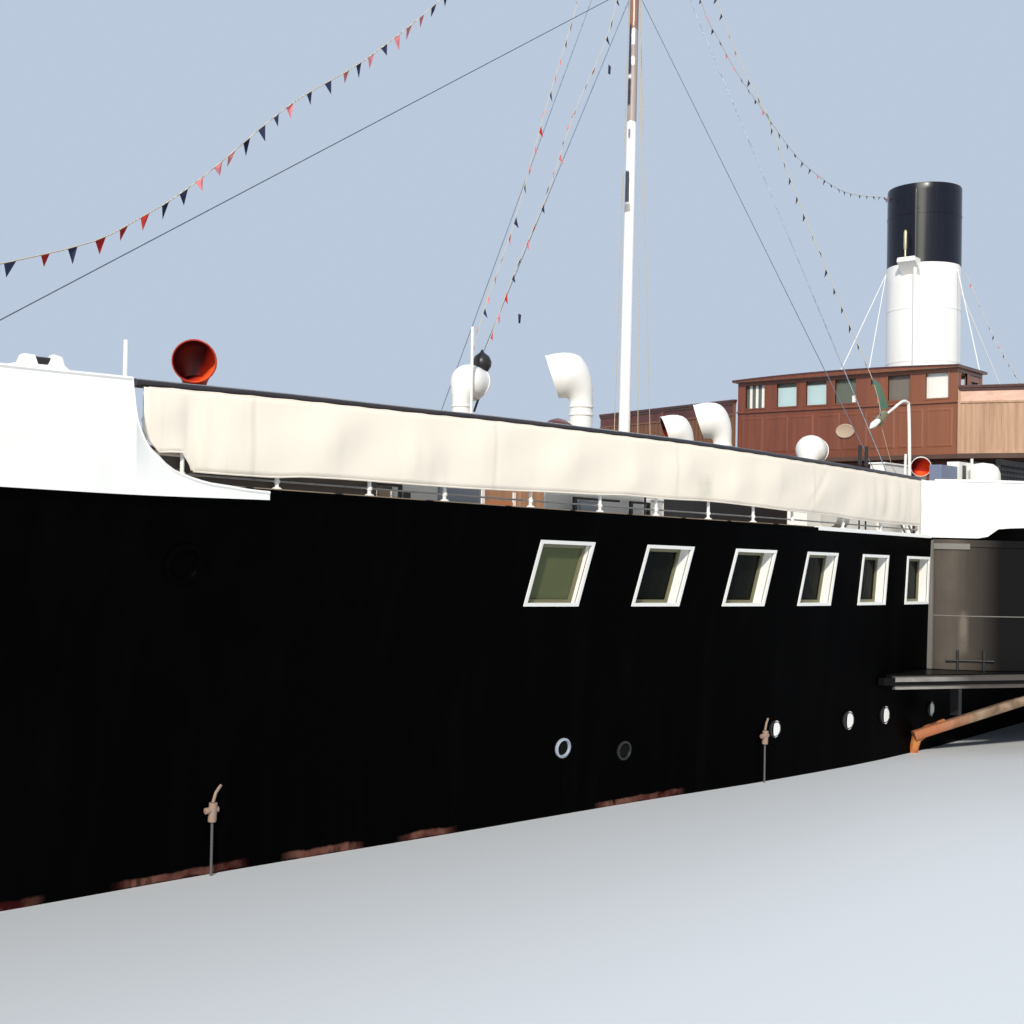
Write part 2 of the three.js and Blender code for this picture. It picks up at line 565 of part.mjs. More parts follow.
// The wheelhouse: a wooden room with windows on all sides and a door to each wing
const WHEELHOUSE = { front: 0.3, back: -1.2, half: 2.84, wall: 0.06, top: 7.58 };
const BAND = { z0: 6.92, z1: 7.5 };
const FRONT_WINDOWS = [-2.34, -1.46, -0.66, 0.11, 1.45, 2.36];
const FRONT_WINDOW_WIDE = 0.54;
const WHEELHOUSE_DOOR = { x0: -1.08, x1: -0.38, z0: 5.7, z1: 7.5, thick: 0.05 };
const SIDE_WINDOW = { x0: -0.25, x1: 0.15 };
function wheelhouse() {
  const { front, back, half, wall, top } = WHEELHOUSE;
  const outer = toSolid(box(back, front, -half, half, BRIDGE_DECK_Z + GAP, top));
  const inner = box(back + wall, front - wall, wall - half, half - wall, 5, 9);
  const openings = FRONT_WINDOWS.map((y) => box(
    -3, 1, y - FRONT_WINDOW_WIDE / 2, y + FRONT_WINDOW_WIDE / 2, BAND.z0, BAND.z1));
  openings.push(box(SIDE_WINDOW.x0, SIDE_WINDOW.x1, -4, 4, BAND.z0, BAND.z1));
  openings.push(box(
    WHEELHOUSE_DOOR.x0, WHEELHOUSE_DOOR.x1, -4, 4, WHEELHOUSE_DOOR.z0, WHEELHOUSE_DOOR.z1));
  return cut(outer, [inner, ...openings].map(toSolid));
}
addNode("wheelhouse", toGeometry(wheelhouse()), "teak");
bothSides("wheelhouse_door", doorLeaf(WHEELHOUSE_DOOR, WHEELHOUSE.half), "teak");

// The glass: one band behind the front and side windows
function glassBand() {
  const { front, half, wall } = WHEELHOUSE;
  const [face, side] = [front - wall - GAP, half - wall - GAP];
  const outer = toSolid(box(-0.32, face, -side, side, BAND.z0 - 0.05, BAND.z1 + 0.05));
  return outer.subtract(toSolid(box(-2, face - 0.02, 0.02 - side, side - 0.02, 5, 9)));
}
addNode("wheelhouse_glass", toGeometry(glassBand()), "glass");

// The cambered roof
const ROOF = { over: 0.14, side: 0.06, edge: 0.05, crown: 0.12 };
function roof() {
  const { front, back, half, top } = WHEELHOUSE;
  const foot = top + GAP;
  const section = [[-half - ROOF.side, foot], [half + ROOF.side, foot],
    [half + ROOF.side, foot + ROOF.edge], [half / 2, foot + ROOF.crown * 0.85],
    [0, foot + ROOF.crown], [-half / 2, foot + ROOF.crown * 0.85],
    [-half - ROOF.side, foot + ROOF.edge]];
  return loft([front + ROOF.over, back - ROOF.over / 2].map((x) => section.map(([y, z]) => [x, y, z])));
}
addNode("wheelhouse_roof", roof(), "white");

// The helm: a pedestal on the bridge deck and a spoked wheel that turns on it
const HELM = { x: -0.4, z: 6.55, radius: 0.45, spokes: 6, axle: 0.04 };
function helmPedestal() {
  const { x, z, axle } = HELM;
  const post = box(x + 0.08, x + 0.35, -0.16, 0.16, BRIDGE_DECK_Z + GAP, z + 0.2);
  const bore = rod([x, 0, z], [x + 0.25, 0, z], boreRadius({ radius: axle, sides: 12 }), 12);
  return toSolid(post).subtract(toSolid(bore));
}
addNode("helm_pedestal", toGeometry(helmPedestal()), "teak");
function helmWheel() {
  const { x, z, radius, spokes, axle } = HELM;
  const rim = toSolid(rod([x - 0.03, 0, z], [x + 0.03, 0, z], radius, 16))
    .subtract(toSolid(rod([x - 1, 0, z], [x + 1, 0, z], radius - 0.07, 16)));
  const parts = [rod([x - 0.08, 0, z], [x + 0.25 - GAP, 0, z], axle, 12),
    rod([x - 0.05, 0, z], [x + 0.05, 0, z], 0.1, 8)];
  for (let i = 0; i < spokes; i++) {
    const turn = (i * 2 * Math.PI) / spokes;
    const reach = radius + 0.12;
    parts.push(rod([x, 0, z], [x, reach * Math.cos(turn), z + reach * Math.sin(turn)], 0.02, 6));
  }
  return parts.map(toSolid).reduce((all, one) => all.add(one), rim);
}
addNode("helm_wheel", toGeometry(helmWheel()), "teak");

// The funnel, open at the top, with a steam pipe up its front
function funnel() {
  const foot = BRIDGE_DECK_Z + GAP;
  const outer = rod([FUNNEL_X, 0, foot], [FUNNEL_X, 0, FUNNEL_TOP_Z], FUNNEL_R, 28);
  const lip = rod(
    [FUNNEL_X, 0, FUNNEL_TOP_Z - 0.08], [FUNNEL_X, 0, FUNNEL_TOP_Z], FUNNEL_R + 0.05, 28);
  const base = rod([FUNNEL_X, 0, foot], [FUNNEL_X, 0, foot + 0.25], FUNNEL_R + 0.15, 28);
  const bore = rod(
    [FUNNEL_X, 0, foot + 0.3], [FUNNEL_X, 0, FUNNEL_TOP_Z + 1], FUNNEL_R - 0.06, 24);
  const pipeX = FUNNEL_X + FUNNEL_R + 0.1;
  const pipe = rod([pipeX, 0.2, foot + 0.1], [pipeX, 0.2, FUNNEL_TOP_Z - 0.2], 0.07, 8);
  const stays = [8.5, 10.4, 12.2].map((z) => box(
    FUNNEL_X + FUNNEL_R - 0.04, pipeX + 0.02, 0.16, 0.24, z - 0.03, z + 0.03));
  return join([outer, lip, base, pipe, ...stays]).subtract(toSolid(bore));
}
addNode("funnel", toGeometry(funnel()), "white");

// The mast, raked a little aft
const MAST = { foot: 0.115, top: 0.06, sides: 14, rake: 0.235 };
function mastX(z) {
  return MAST_X - (MAST.rake * (z - 3.7)) / (MAST_TOP_Z - 3.7);
}
function mast() {
  const shaft = rod(
    [mastX(3), 0, 3], [mastX(MAST_TOP_Z), 0, MAST_TOP_Z], MAST.foot, MAST.sides, MAST.top);
  return toSolid(shaft).subtract(deckClear);
}
addNode("mast", toGeometry(mast()), "timber");

// The mast's standing rigging: wires made fast to two bands round it. band: the band's height,
// feet: where its wires come down
const STAYS = [
  { name: "rigging", band: 14.05, feet: [[24.5, 0, 4.1], [7.5, 4.75, 3.72], [10, -4.8, 3.77]] },
  { name: "rigging_upper", band: 16.2, feet: [[7.2, 4.75, 3.71], [10.35, -4.8, 3.78]] },
];
const STAY_BAND = { radius: 0.12, half: 0.1, eye: 0.1 };
const WIRE = { radius: 0.018, sides: 5 };
function rigging({ band, feet }) {
  const x = mastX(band);
  const grip = toSolid(rod(
    [x, 0, band - STAY_BAND.half], [x, 0, band + STAY_BAND.half], STAY_BAND.radius, MAST.sides));
  const hole = toSolid(rod(
    [mastX(3), 0, 3], [mastX(MAST_TOP_Z), 0, MAST_TOP_Z], MAST.foot + GAP, MAST.sides,
    MAST.top + GAP));
  const wires = feet.map(([footX, footY, footZ]) => {
    const share = STAY_BAND.eye / Math.hypot(footX - x, footY);
    const eye = [x + share * (footX - x), share * footY, band];
    return toSolid(rod(eye, [footX, footY, footZ], WIRE.radius, WIRE.sides));
  });
  return cut(wires.reduce((all, one) => all.add(one), grip), [hole, deckClear]);
}
STAYS.forEach((stay) => addNode(stay.name, toGeometry(rigging(stay)), "steel"));

// Cowl ventilators. x, y: where one stands, z: height of the mouth's centre, r: pipe radius,
// turn: the way the mouth looks, in degrees from forward towards port
const VENTS = [
  { name: "forecastle", x: 20.6, y: 2.27, z: 5.41, r: 0.12, turn: 52, paint: "red" },
  { name: "fore", x: 13.8, y: 0, z: 6.05, r: 0.148, turn: 188, paint: "white" },
  { name: "tall", x: 10.62, y: 0, z: 6.47, r: 0.206, turn: -54, paint: "white" },
  { name: "middle", x: 7.15, y: 0, z: 5.73, r: 0.162, turn: -50, paint: "white" },
  { name: "after", x: 5.75, y: 0, z: 6.05, r: 0.19, turn: -62, paint: "white" },
  { name: "bridge", x: 1.97, y: 0, z: 5.68, r: 0.178, turn: 190, paint: "white" },
  { name: "port", x: 1.37, y: 2.445, z: 5.27, r: 0.112, turn: 23, paint: "white" },
];
const COWL = [ // rings of the bend, in pipe radii: forward, up, radius and its tilt in degrees
  [0, -2.6, 1.0, 0], [0, -1.95, 1.03, 14], [0.06, -1.375, 1.19, 29], [0.235, -0.8, 1.46, 46],
  [0.535, -0.31, 1.75, 59.6], [0.965, 0.04, 1.96, 71.7], [1.65, 0.145, 1.975, 88.5],
  [2.49, 0.025, 1.925, 108.5],
];
const COWL_MOUTH = [2.774, -0.07, 1.95, 108.5]; // just beyond the lip
function ringOf([forward, up, radius, tilt], r, inset, sides) {
  const lean = THREE.MathUtils.degToRad(tilt);
  return Array.from({ length: sides }, (_, k) => {
    const turn = (2 * Math.PI * k) / sides;
    const [a, b] = [Math.cos(turn), Math.sin(turn)].map((v) => v * (radius * r - inset));
    return [forward * r + a * Math.cos(lean), b, up * r - a * Math.sin(lean)];
  });
}
function cowl({ x, y, z, r, turn }) {
  const foot = [0, (3 - z) / r, 1, 0];
  const outer = loft([foot, ...COWL].map((ring) => ringOf(ring, r, 0, 12)));
  const bore = COWL.slice(2).map((ring) => ringOf(ring, r, 0.03, 12));
  bore.push(ringOf(COWL_MOUTH, r, 0.03, 12));
  const made = toSolid(outer).subtract(toSolid(loft(bore)));
  return made.rotate([0, 0, turn]).translate([x, y, z]).subtract(deckClear);
}
VENTS.forEach((vent) => addNode(`vent_${vent.name}`, toGeometry(cowl(vent)), vent.paint));

// Windlass on the forecastle
function windlass() {
  const x = 26.4;
  const bed = box(x - 0.6, x + 0.6, -0.9, 0.9, 4, 4.45);
  const barrels = [drum(x, 4.75, -1.25, 1.25, 0.14, 16), drum(x, 4.75, -0.35, 0.35, 0.32, 16)];
  const ends = [drum(x, 4.75, 0.95, 1.25, 0.24, 16), drum(x, 4.75, -1.25, -0.95, 0.24, 16)];
  const cheeks = [0.45, -0.65].map((y) => box(x - 0.3, x + 0.3, y, y + 0.2, 4.3, 4.9));
  return join([bed, ...barrels, ...ends, ...cheeks]).subtract(deckClear);
}
addNode("windlass", toGeometry(windlass()), "black");

// Davits forward of the bridge, each a bent pole with its arm reaching forward
const DAVIT = { radius: 0.026, path: [[5.4, 3.9, 3.2], [5.4, 3.9, 6.15], [5.55, 3.9, 6.26],
  [6.45, 3.9, 5.97], [7.05, 3.9, 5.72]] };
function davit() {
  const { path, radius } = DAVIT;
  const parts = path.slice(1).map((end, i) => rod(path[i], end, radius, 10));
  path.slice(1, -1).forEach(([x, y, z]) => {
    parts.push(new THREE.SphereGeometry(radius * 1.02, 10, 8).translate(x, y, z));
  });
  const foot = rod([5.4, 3.9, 3.2], [5.4, 3.9, 4.0], 0.07, 12);
  return join([...parts, foot]).subtract(deckClear);
}
bothSides("davit", davit(), "white");

// The companion forward, a varnished box over its stairs to port of the middle line, and the
// hatch abaft it
const FORE_COMPANION = { x0: 13.34, x1: 14.98, y0: 0.72, y1: 1.5, top: 4.7 };
function foreCompanion() {
  const { x0, x1, y0, y1, top } = FORE_COMPANION;
  const lid = [[y0 - 0.05, top], [y1 + 0.05, top], [y1 - 0.2, top + 0.08], [y0 + 0.2, top + 0.08]];
  const roof = loft([x0 - 0.06, x1 + 0.06].map((x) => lid.map(([y, z]) => [x, y, z])));
  return join([box(x0, x1, y0, y1, 3.3, top + 0.02), roof]).subtract(deckClear);
}
addNode("fore_companion", toGeometry(foreCompanion()), "teak");
function foreHatch() {
  const coaming = box(9.95, 12.75, -1.25, -0.4, 3.3, 4.25);
  const bars = [10.6, 12.1].map((x) => box(x - 0.06, x + 0.06, -1.3, -0.35, 4.2, 4.32));
  return join([coaming, ...bars]).subtract(deckClear);
}
addNode("fore_hatch", toGeometry(foreHatch()), "white");

// The low black casing over the boiler room, round the feet of the middle and after cowls
const CASING = { x0: 3.6, x1: 7.36, half: 0.36, top: 4.46 };
function boilerCasing() {
  const { x0, x1, half, top } = CASING;
  const body = box(x0, x1, -half, half, 3.3, top);
  const rim = box(x0 - 0.04, x1 + 0.04, -half - 0.04, half + 0.04, top - 0.06, top);
  const pipes = VENTS.filter(({ x, y }) => y === 0 && x > x0 && x < x1).map(({ x, y, r }) => toSolid(
    rod([x, y, 3], [x, y, top + 1], boreRadius({ radius: r, sides: 12 }), 24)));
  return cut(join([body, rim]), [deckClear, ...pipes]);
}
addNode("boiler_casing", toGeometry(boilerCasing()), "black");

// Slatted benches along the middle of the fore deck and round the stern
const BENCHES = [
  { name: "fore", x0: 14.9, x1: 17.4, y: 0 },
  { name: "after", x0: -20.6, x1: -18.2, y: 0 },
];
function bench({ x0, x1, y }) {
  const z = deckZ((x0 + x1) / 2);
  const parts = [box(x0, x1, y - 0.42, y + 0.42, z + 0.42, z + 0.47),
    box(x0, x1, y - 0.03, y + 0.03, z + 0.4, z + 0.9)];
  for (const x of [x0 + 0.2, x1 - 0.2]) {
    parts.push(box(x - 0.03, x + 0.03, y - 0.36, y + 0.36, 3.2, z + 0.43));
  }
  return join(parts).subtract(deckClear);
}
BENCHES.forEach((one) => addNode(`bench_${one.name}`, toGeometry(bench(one)), "teak"));

// Engine room skylight with its pitched lids, abaft the deckhouse
function skylight() {
  const [front, back] = [-9.9, -12.1];
  const section = [[-0.9, 3.2], [0.9, 3.2], [0.9, 4.3], [0, 4.75], [-0.9, 4.3]];
  return toSolid(loft([front, back].map((x) => section.map(([y, z]) => [x, y, z]))))
    .subtract(deckClear);
}
addNode("skylight", toGeometry(skylight()), "teak");

// The companion aft: a small house over the stairs down, with an open doorway
function companion() {
  const shell = box(-24.3, -21.5, -1.2, 1.2, 3.2, 5.6);
  const top = box(-24.45, -21.35, -1.35, 1.35, 5.55, 5.65);
  const room = box(-24.22, -21.58, -1.12, 1.12, 3, 5.5);
  const doorway = box(-24.5, -24, -0.5, 0.4, 3, 5.3);
  return cut(join([shell, top]), [deckClear, toSolid(room), toSolid(doorway)]);
}
addNode("companion", toGeometry(companion()), "white");

// Lifeboats on their chocks, each with a cover stretched over it
const BOAT = { x: -17.6, y: 3.35, half: 3.1, beam: 0.95, low: 4.05, rail: 4.95 };
function lifeboat() {
  const shares = [-1, -0.85, -0.55, 0, 0.55, 0.85, 1];
  const rings = shares.map((s) => {
    const wide = Math.max(0.05, BOAT.beam * Math.sqrt(1 - s * s));
    const lift = 0.35 * s * s;
    const section = [[-0.35, 0], [0.35, 0], [0.85, 0.35], [1, 0.9], [0.55, 1.15], [0, 1.22],
      [-0.55, 1.15], [-1, 0.9], [-0.85, 0.35]];
    return section.map(([a, b]) => [
      BOAT.x + s * BOAT.half, BOAT.y + wide * a, BOAT.low + lift + b * (BOAT.rail - BOAT.low)]);
  });
  const chocks = [-1.5, 1.5].map((dx) => box(
    BOAT.x + dx - 0.06, BOAT.x + dx + 0.06, BOAT.y - 0.5, BOAT.y + 0.5, 3.3, BOAT.low + 0.2));
  return join([loft(rings), ...chocks]).subtract(deckClear);
}
bothSides("lifeboat", lifeboat(), "canvas");

export default ship;
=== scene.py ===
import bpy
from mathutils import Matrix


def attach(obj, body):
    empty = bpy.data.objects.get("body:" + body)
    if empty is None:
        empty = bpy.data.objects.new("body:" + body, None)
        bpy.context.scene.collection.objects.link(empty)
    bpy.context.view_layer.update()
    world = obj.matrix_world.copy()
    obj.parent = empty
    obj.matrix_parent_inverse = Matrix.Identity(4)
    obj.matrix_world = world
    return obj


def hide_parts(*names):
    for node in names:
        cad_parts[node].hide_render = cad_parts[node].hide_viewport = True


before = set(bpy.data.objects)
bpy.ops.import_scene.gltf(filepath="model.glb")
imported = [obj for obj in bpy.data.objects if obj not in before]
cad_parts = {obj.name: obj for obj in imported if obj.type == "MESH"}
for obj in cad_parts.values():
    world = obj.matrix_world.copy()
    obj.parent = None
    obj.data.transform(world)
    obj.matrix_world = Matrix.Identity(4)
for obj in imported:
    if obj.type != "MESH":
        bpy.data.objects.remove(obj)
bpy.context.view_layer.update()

import math
import random

import bpy
from mathutils import Matrix, Vector

# All sizes and places below are metres of the full-size ship; MODEL brings them to the 1:2 model.
MODEL = 0.5
SHIP = "ship"
PORT, STARBOARD = 1, -1
SIDES = {PORT: "port", STARBOARD: "starboard"}
random.seed(7)


# Camera: where the photographer stood, found from the hull's lines
CAMERA = {"place": (29.2, 14.12, 3.595), "lens": 45.703, "turn": 40.2, "pitch": 1.06, "roll": 1.0}


def make_camera():
    turn, pitch, roll = (math.radians(CAMERA[k]) for k in ("turn", "pitch", "roll"))
    level = Vector((-math.cos(turn), -math.sin(turn), 0))
    right = Vector((-math.sin(turn), math.cos(turn), 0))
    up = Vector((0, 0, 1))
    ahead = level * math.cos(pitch) + up * math.sin(pitch)
    up = up * math.cos(pitch) - level * math.sin(pitch)
    rolled_right = right * math.cos(roll) + up * math.sin(roll)
    rolled_up = up * math.cos(roll) - right * math.sin(roll)
    data = bpy.data.cameras.new("camera")
    data.lens = CAMERA["lens"]
    data.sensor_width = 36
    data.clip_end = 2000
    camera = bpy.data.objects.new("camera", data)
    camera.matrix_world = Matrix((
        (rolled_right.x, rolled_up.x, -ahead.x, CAMERA["place"][0] * MODEL),
        (rolled_right.y, rolled_up.y, -ahead.y, CAMERA["place"][1] * MODEL),
        (rolled_right.z, rolled_up.z, -ahead.z, CAMERA["place"][2] * MODEL),
        (0, 0, 0, 1),
    ))
    bpy.context.collection.objects.link(camera)
    bpy.context.scene.camera = camera


make_camera()


# Materials, each built of shader nodes. Bare places in them are metres of the 1:2 model
class Shader:
    """A material's node tree, with short calls for the nodes used below."""

    def __init__(self, name, color, roughness, metallic=0.0):
        self.material = bpy.data.materials.new(name)
        self.material.use_nodes = True
        self.tree = self.material.node_tree
        self.bsdf = self.tree.nodes["Principled BSDF"]
        self.set("Base Color", (*color, 1))
        self.set("Roughness", roughness)
        self.set("Metallic", metallic)
        self.place = self.tree.nodes.new("ShaderNodeTexCoord").outputs["Object"]

    def set(self, socket, value):
        self.bsdf.inputs[socket].default_value = value

    def use(self, socket, value):
        self.tree.links.new(value, self.bsdf.inputs[socket])

    def node(self, kind, inputs=None, **settings):
        made = self.tree.nodes.new(kind)
        for key, value in settings.items():
            setattr(made, key, value)
        for key, value in (inputs or {}).items():
            if hasattr(value, "is_output"):
                self.tree.links.new(value, made.inputs[key])
            else:
                made.inputs[key].default_value = value
        return made

    def noise(self, scale, detail=4, stretch=(1, 1, 1), rough=0.55):
        place = self.node("ShaderNodeMapping", {"Vector": self.place, "Scale": stretch}).outputs[0]
        return self.node("ShaderNodeTexNoise", {
            "Vector": place, "Scale": scale, "Detail": detail, "Roughness": rough}).outputs["Fac"]

    def wave(self, scale, direction, distortion=0.0):
        return self.node("ShaderNodeTexWave", {
            "Vector": self.place, "Scale": scale, "Distortion": distortion},
            bands_direction=direction).outputs["Fac"]

    def axis(self, name):
        return self.node("ShaderNodeSeparateXYZ", {"Vector": self.place}).outputs[name]

    def across(self, direction, origin=(0, 0)):
        """How far a point lies from origin along a direction in plan."""
        x = self.times(self.plus(self.axis("X"), -origin[0]), direction[0])
        return self.plus(x, self.times(self.plus(self.axis("Y"), -origin[1]), direction[1]))

    def ramp(self, value, stops):
        made = self.node("ShaderNodeValToRGB", {"Fac": value})
        points = made.color_ramp.elements
        while len(points) < len(stops):
            points.new(0.5)
        for point, (at, color) in zip(points, stops):
            point.position = at
            point.color = (*color, 1) if hasattr(color, "__len__") else (color, color, color, 1)
        return made.outputs["Color"]

    def grow(self, value, low, high, first=0.0, last=1.0):
        """first where value is low or less, last where it is high or more."""
        return self.ramp(value, [(low, first), (high, last)])

    def rise(self, value, low, high, first=0.0, last=1.0):
        """As grow, for a value that isn't from 0 to 1."""
        return self.node("ShaderNodeMapRange", {
            "Value": value, "From Min": low, "From Max": high,
            "To Min": first, "To Max": last}).outputs[0]

    def between(self, value, low, high, soft):
        """1 where value lies from low to high, with soft edges, and 0 elsewhere."""
        return self.times(self.rise(value, low - soft, low + soft),
                          self.rise(value, high + soft, high - soft))

    def math(self, operation, a, b=0.0, clamp=False):
        return self.node("ShaderNodeMath", {0: a, 1: b}, operation=operation,
                         use_clamp=clamp).outputs[0]

    def times(self, a, b, clamp=False):
        return self.math("MULTIPLY", a, b, clamp)

    def plus(self, a, b, clamp=False):
        return self.math("ADD", a, b, clamp)

    def mix(self, factor, a, b):
        made = self.node("ShaderNodeMix", {"Factor": factor}, data_type="RGBA")
        for socket, value in (("A", a), ("B", b)):
            target = [s for s in made.inputs if s.name == socket and s.type == "RGBA"][0]
            if hasattr(value, "is_output"):
                self.tree.links.new(value, target)
            else:
                target.default_value = (*value, 1)
        return [s for s in made.outputs if s.type == "RGBA"][0]

    def bump(self, height, strength, distance=0.01):
        before = self.bsdf.inputs["Normal"]
        inputs = {"Height": height, "Strength": strength, "Distance": distance}
        if before.is_linked:
            inputs["Normal"] = before.links[0].from_socket
        self.tree.links.new(self.node("ShaderNodeBump", inputs).outputs[0], before)

    def uneven_gloss(self, value, amount, least):
        self.use("Roughness", self.plus(self.times(value, amount), least))

    def seams(self, axis, wide):
        """1 in the narrow gap between boards that lie side by side along an axis."""
        share = self.math("FRACT", self.math("DIVIDE", self.axis(axis), wide))
        return self.math("SUBTRACT", 1.0, self.between(share, 0.045, 0.955, 0.015))


SEAM_DARK = (0.012, 0.01, 0.009)


def painted(name, color, roughness, dirt=(0.35, 0.3, 0.24), dirty=0.25, bumpy=0.15):
    """Brushed or sprayed paint with faint dirt, runs and uneven gloss."""
    s = Shader(name, color, roughness)
    runs = s.noise(6, 5, (1, 1, 0.08))
    grime = s.times(s.grow(s.noise(1.3, 6), 0.45, 0.8), s.grow(runs, 0.4, 0.75, 0.1))
    s.use("Base Color", s.mix(s.times(grime, dirty), color, dirt))
    s.uneven_gloss(runs, 0.2, roughness - 0.1)
    s.bump(s.noise(60, 3), bumpy, 0.001)
    s.bump(s.noise(3, 3), bumpy, 0.004)
    return s.material


RED_PATCHES = [  # full-size x, from and to, where the red line shows at the water
    (22.6, 23.3), (20.39, 21.73), (18.95, 19.79), (17.63, 18.28), (13.63, 15.13)]
RED_LINE = (0.004, 0.042)  # its height over the water


def hull_paint():
    """Gloss black over welded plates, with a worn red line at the water."""
    black = (0.0009, 0.0009, 0.001)
    s = Shader("hull_black", black, 0.4)
    s.set("Specular IOR Level", 0.008)
    height = s.axis("Z")
    runs = s.noise(5, 5, (1, 1, 0.05))
    faded = s.mix(s.times(s.grow(runs, 0.5, 0.8), 0.35), black, (0.004, 0.004, 0.0045))
    worn = 0.0
    for low, high in RED_PATCHES:
        worn = s.plus(worn, s.between(s.axis("X"), low * MODEL, high * MODEL, 0.06))
    worn = s.times(worn, s.grow(s.noise(4, 6, (1, 1, 0.4)), 0.36, 0.42), clamp=True)
    ragged = s.plus(height, s.times(s.plus(s.noise(7, 4), -0.5), 0.05))
    line = s.times(s.between(ragged, *RED_LINE, 0.006), worn)
    rust = s.mix(s.grow(s.noise(6, 6), 0.38, 0.62), (0.028, 0.004, 0.005), (0.14, 0.06, 0.045))
    below = s.math("LESS_THAN", height, 0.0)
    s.use("Base Color", s.mix(below, s.mix(line, faded, rust), (0.09, 0.02, 0.012)))
    s.uneven_gloss(s.noise(0.8, 6), 0.3, 0.2)
    side_view = s.node("ShaderNodeCombineXYZ", {"X": s.axis("X"), "Y": height}).outputs[0]
    plates = s.node("ShaderNodeTexBrick", {
        "Vector": side_view, "Scale": 1.0, "Mortar Size": 0.004, "Mortar Smooth": 0.6, "Bias": 0.0,
        "Brick Width": 2.6, "Row Height": 0.62}, offset=0.5)
    s.bump(plates.outputs["Fac"], 0.25, -0.004)
    s.bump(s.noise(1.6, 2), 0.3, 0.012)
    s.bump(s.noise(45, 3), 0.12, 0.001)
    return s.material


SUNLIT_CANVAS = (18 * MODEL, 8.5 * MODEL)  # x from which painted shade darkens the canvas aft, and where it is darkest
OLIVE_PATCH = {"x": (6.9, 7.06), "z": (2.06, 2.22)}  # a dark olive patch on the canvas


def canvas_cloth():
    """Cream canvas with a fine weave, seams between its cloths, faint water stains, a dark olive patch, and
    painted shade that darkens it aft.
    """
    cream = (0.875, 0.785, 0.655)
    s = Shader("canvas", cream, 0.92)
    # painted shade: the cream darkens towards the aft end
    cream = s.mix(s.rise(s.axis("X"), *SUNLIT_CANVAS), cream, (0.78, 0.7, 0.585))
    s.set("Sheen Weight", 0.15)
    weave = s.plus(s.wave(160.0, "Z", 0.6), s.wave(160.0, "X", 0.6))
    seam = s.between(s.math("FRACT", s.times(s.axis("X"), 0.62)), 0.49, 0.51, 0.008)
    stains = s.times(s.grow(s.noise(1.1, 6, (1, 1, 0.6)), 0.55, 0.75),
                     s.grow(s.noise(9, 4, (1, 1, 0.1)), 0.5, 0.8))
    stained = s.mix(s.times(stains, 0.55), cream, (0.36, 0.35, 0.26))
    # a dark olive patch, blotchy at its edges
    olive_patch = s.times(s.between(s.axis("X"), *OLIVE_PATCH["x"], 0.04), s.between(s.axis("Z"), *OLIVE_PATCH["z"], 0.04))
    olive_patch = s.times(olive_patch, s.grow(s.noise(3.0, 6), 0.35, 0.65, 0.15))
    stained = s.mix(s.times(olive_patch, 0.6), stained, (0.3, 0.31, 0.2))
    s.use("Base Color", s.mix(s.times(seam, 0.25), stained, (0.62, 0.56, 0.45)))
    s.bump(weave, 0.25, 0.0012)
    s.bump(s.times(seam, -1.0), 0.5, 0.003)
    s.bump(s.noise(2.2, 4, (1, 1, 0.35)), 0.45, 0.02)
    return s.material


GRAIN = {"X": (0.06, 1, 1), "Y": (1, 0.06, 1), "Z": (1, 1, 0.06)}


def wood(name, dark, light, along="X", roughness=0.38, coat=0.25, boards=0.0, painted_light=None):
    """Timber with its grain along one axis. boards sets seams apart; the last argument gives a lighter
    colour mixed in towards the port side, painted sunlight.
    """
    s = Shader(name, dark, roughness)
    s.set("Coat Weight", coat)
    s.set("Coat Roughness", 0.25)
    fibre = s.noise(18.0, 8, GRAIN[along], 0.7)
    tone = s.plus(s.times(fibre, 0.75), s.times(s.noise(1.2, 3, GRAIN[along]), 0.35))
    color = s.ramp(tone, [(0.35, dark), (0.75, light)])
    # painted sunlight: the wood is lighter towards the port side
    if painted_light:
        color = s.mix(s.rise(s.axis("Y"), -0.4, 1.5, last=0.55), color, painted_light)
    if boards:
        seam = s.seams("X" if along == "Y" else "Y", boards)
        color = s.mix(seam, color, SEAM_DARK)
        s.bump(s.times(seam, -1.0), 0.6, 0.004)
    s.use("Base Color", color)
    s.uneven_gloss(fibre, 0.25, roughness - 0.1)
    s.bump(fibre, 0.25, 0.0015)
    return s.material


FUNNEL_X = -4.5
FUNNEL_SPLIT = 10.98  # full-size height where the funnel's black starts
FUNNEL_ACROSS = (-0.386, 0.923)  # one way across the funnel, as the photograph sees it
ACROSS = (-0.645, 0.764)  # one way across the mast and the cowls' mouths


def funnel_paint():
    """White casing under a black top, with soot streaks below the black, scuffs on the black, and a pale
    vertical band down the black that is a painted highlight.
    """
    split, white = FUNNEL_SPLIT * MODEL, (0.85, 0.84, 0.81)
    s = Shader("funnel_paint", white, 0.42)
    s.set("Specular IOR Level", 0.3)
    height = s.plus(s.axis("Z"), s.times(s.noise(14, 3), 0.004))
    height = s.plus(height, s.rise(s.axis("X"), FUNNEL_X * MODEL, FUNNEL_X * MODEL - 0.5, last=0.09))
    black = s.math("GREATER_THAN", height, split)
    streaks = s.grow(s.noise(7, 5, (1, 1, 0.06)), 0.45, 0.8)
    sooty = s.times(s.times(streaks, s.between(s.axis("Z"), split - 0.5, split, 0.25)), 0.35)
    casing = s.mix(sooty, white, (0.3, 0.27, 0.23))
    scuffs_and_glint = s.mix(s.times(streaks, 0.4), (0.005, 0.006, 0.013), (0.02, 0.02, 0.026))
    # painted highlight: a pale vertical band down the black
    painted_light = s.between(s.across(FUNNEL_ACROSS, (FUNNEL_X * MODEL, 0)), -0.075, -0.025, 0.05)
    scuffs_and_glint = s.mix(s.times(painted_light, 0.9), scuffs_and_glint, (0.2, 0.2, 0.175))
    s.use("Base Color", s.mix(black, casing, scuffs_and_glint))
    s.uneven_gloss(streaks, 0.15, 0.26)
    s.bump(s.noise(2.5, 3), 0.2, 0.006)
    s.bump(s.noise(50, 2), 0.1, 0.001)
    return s.material


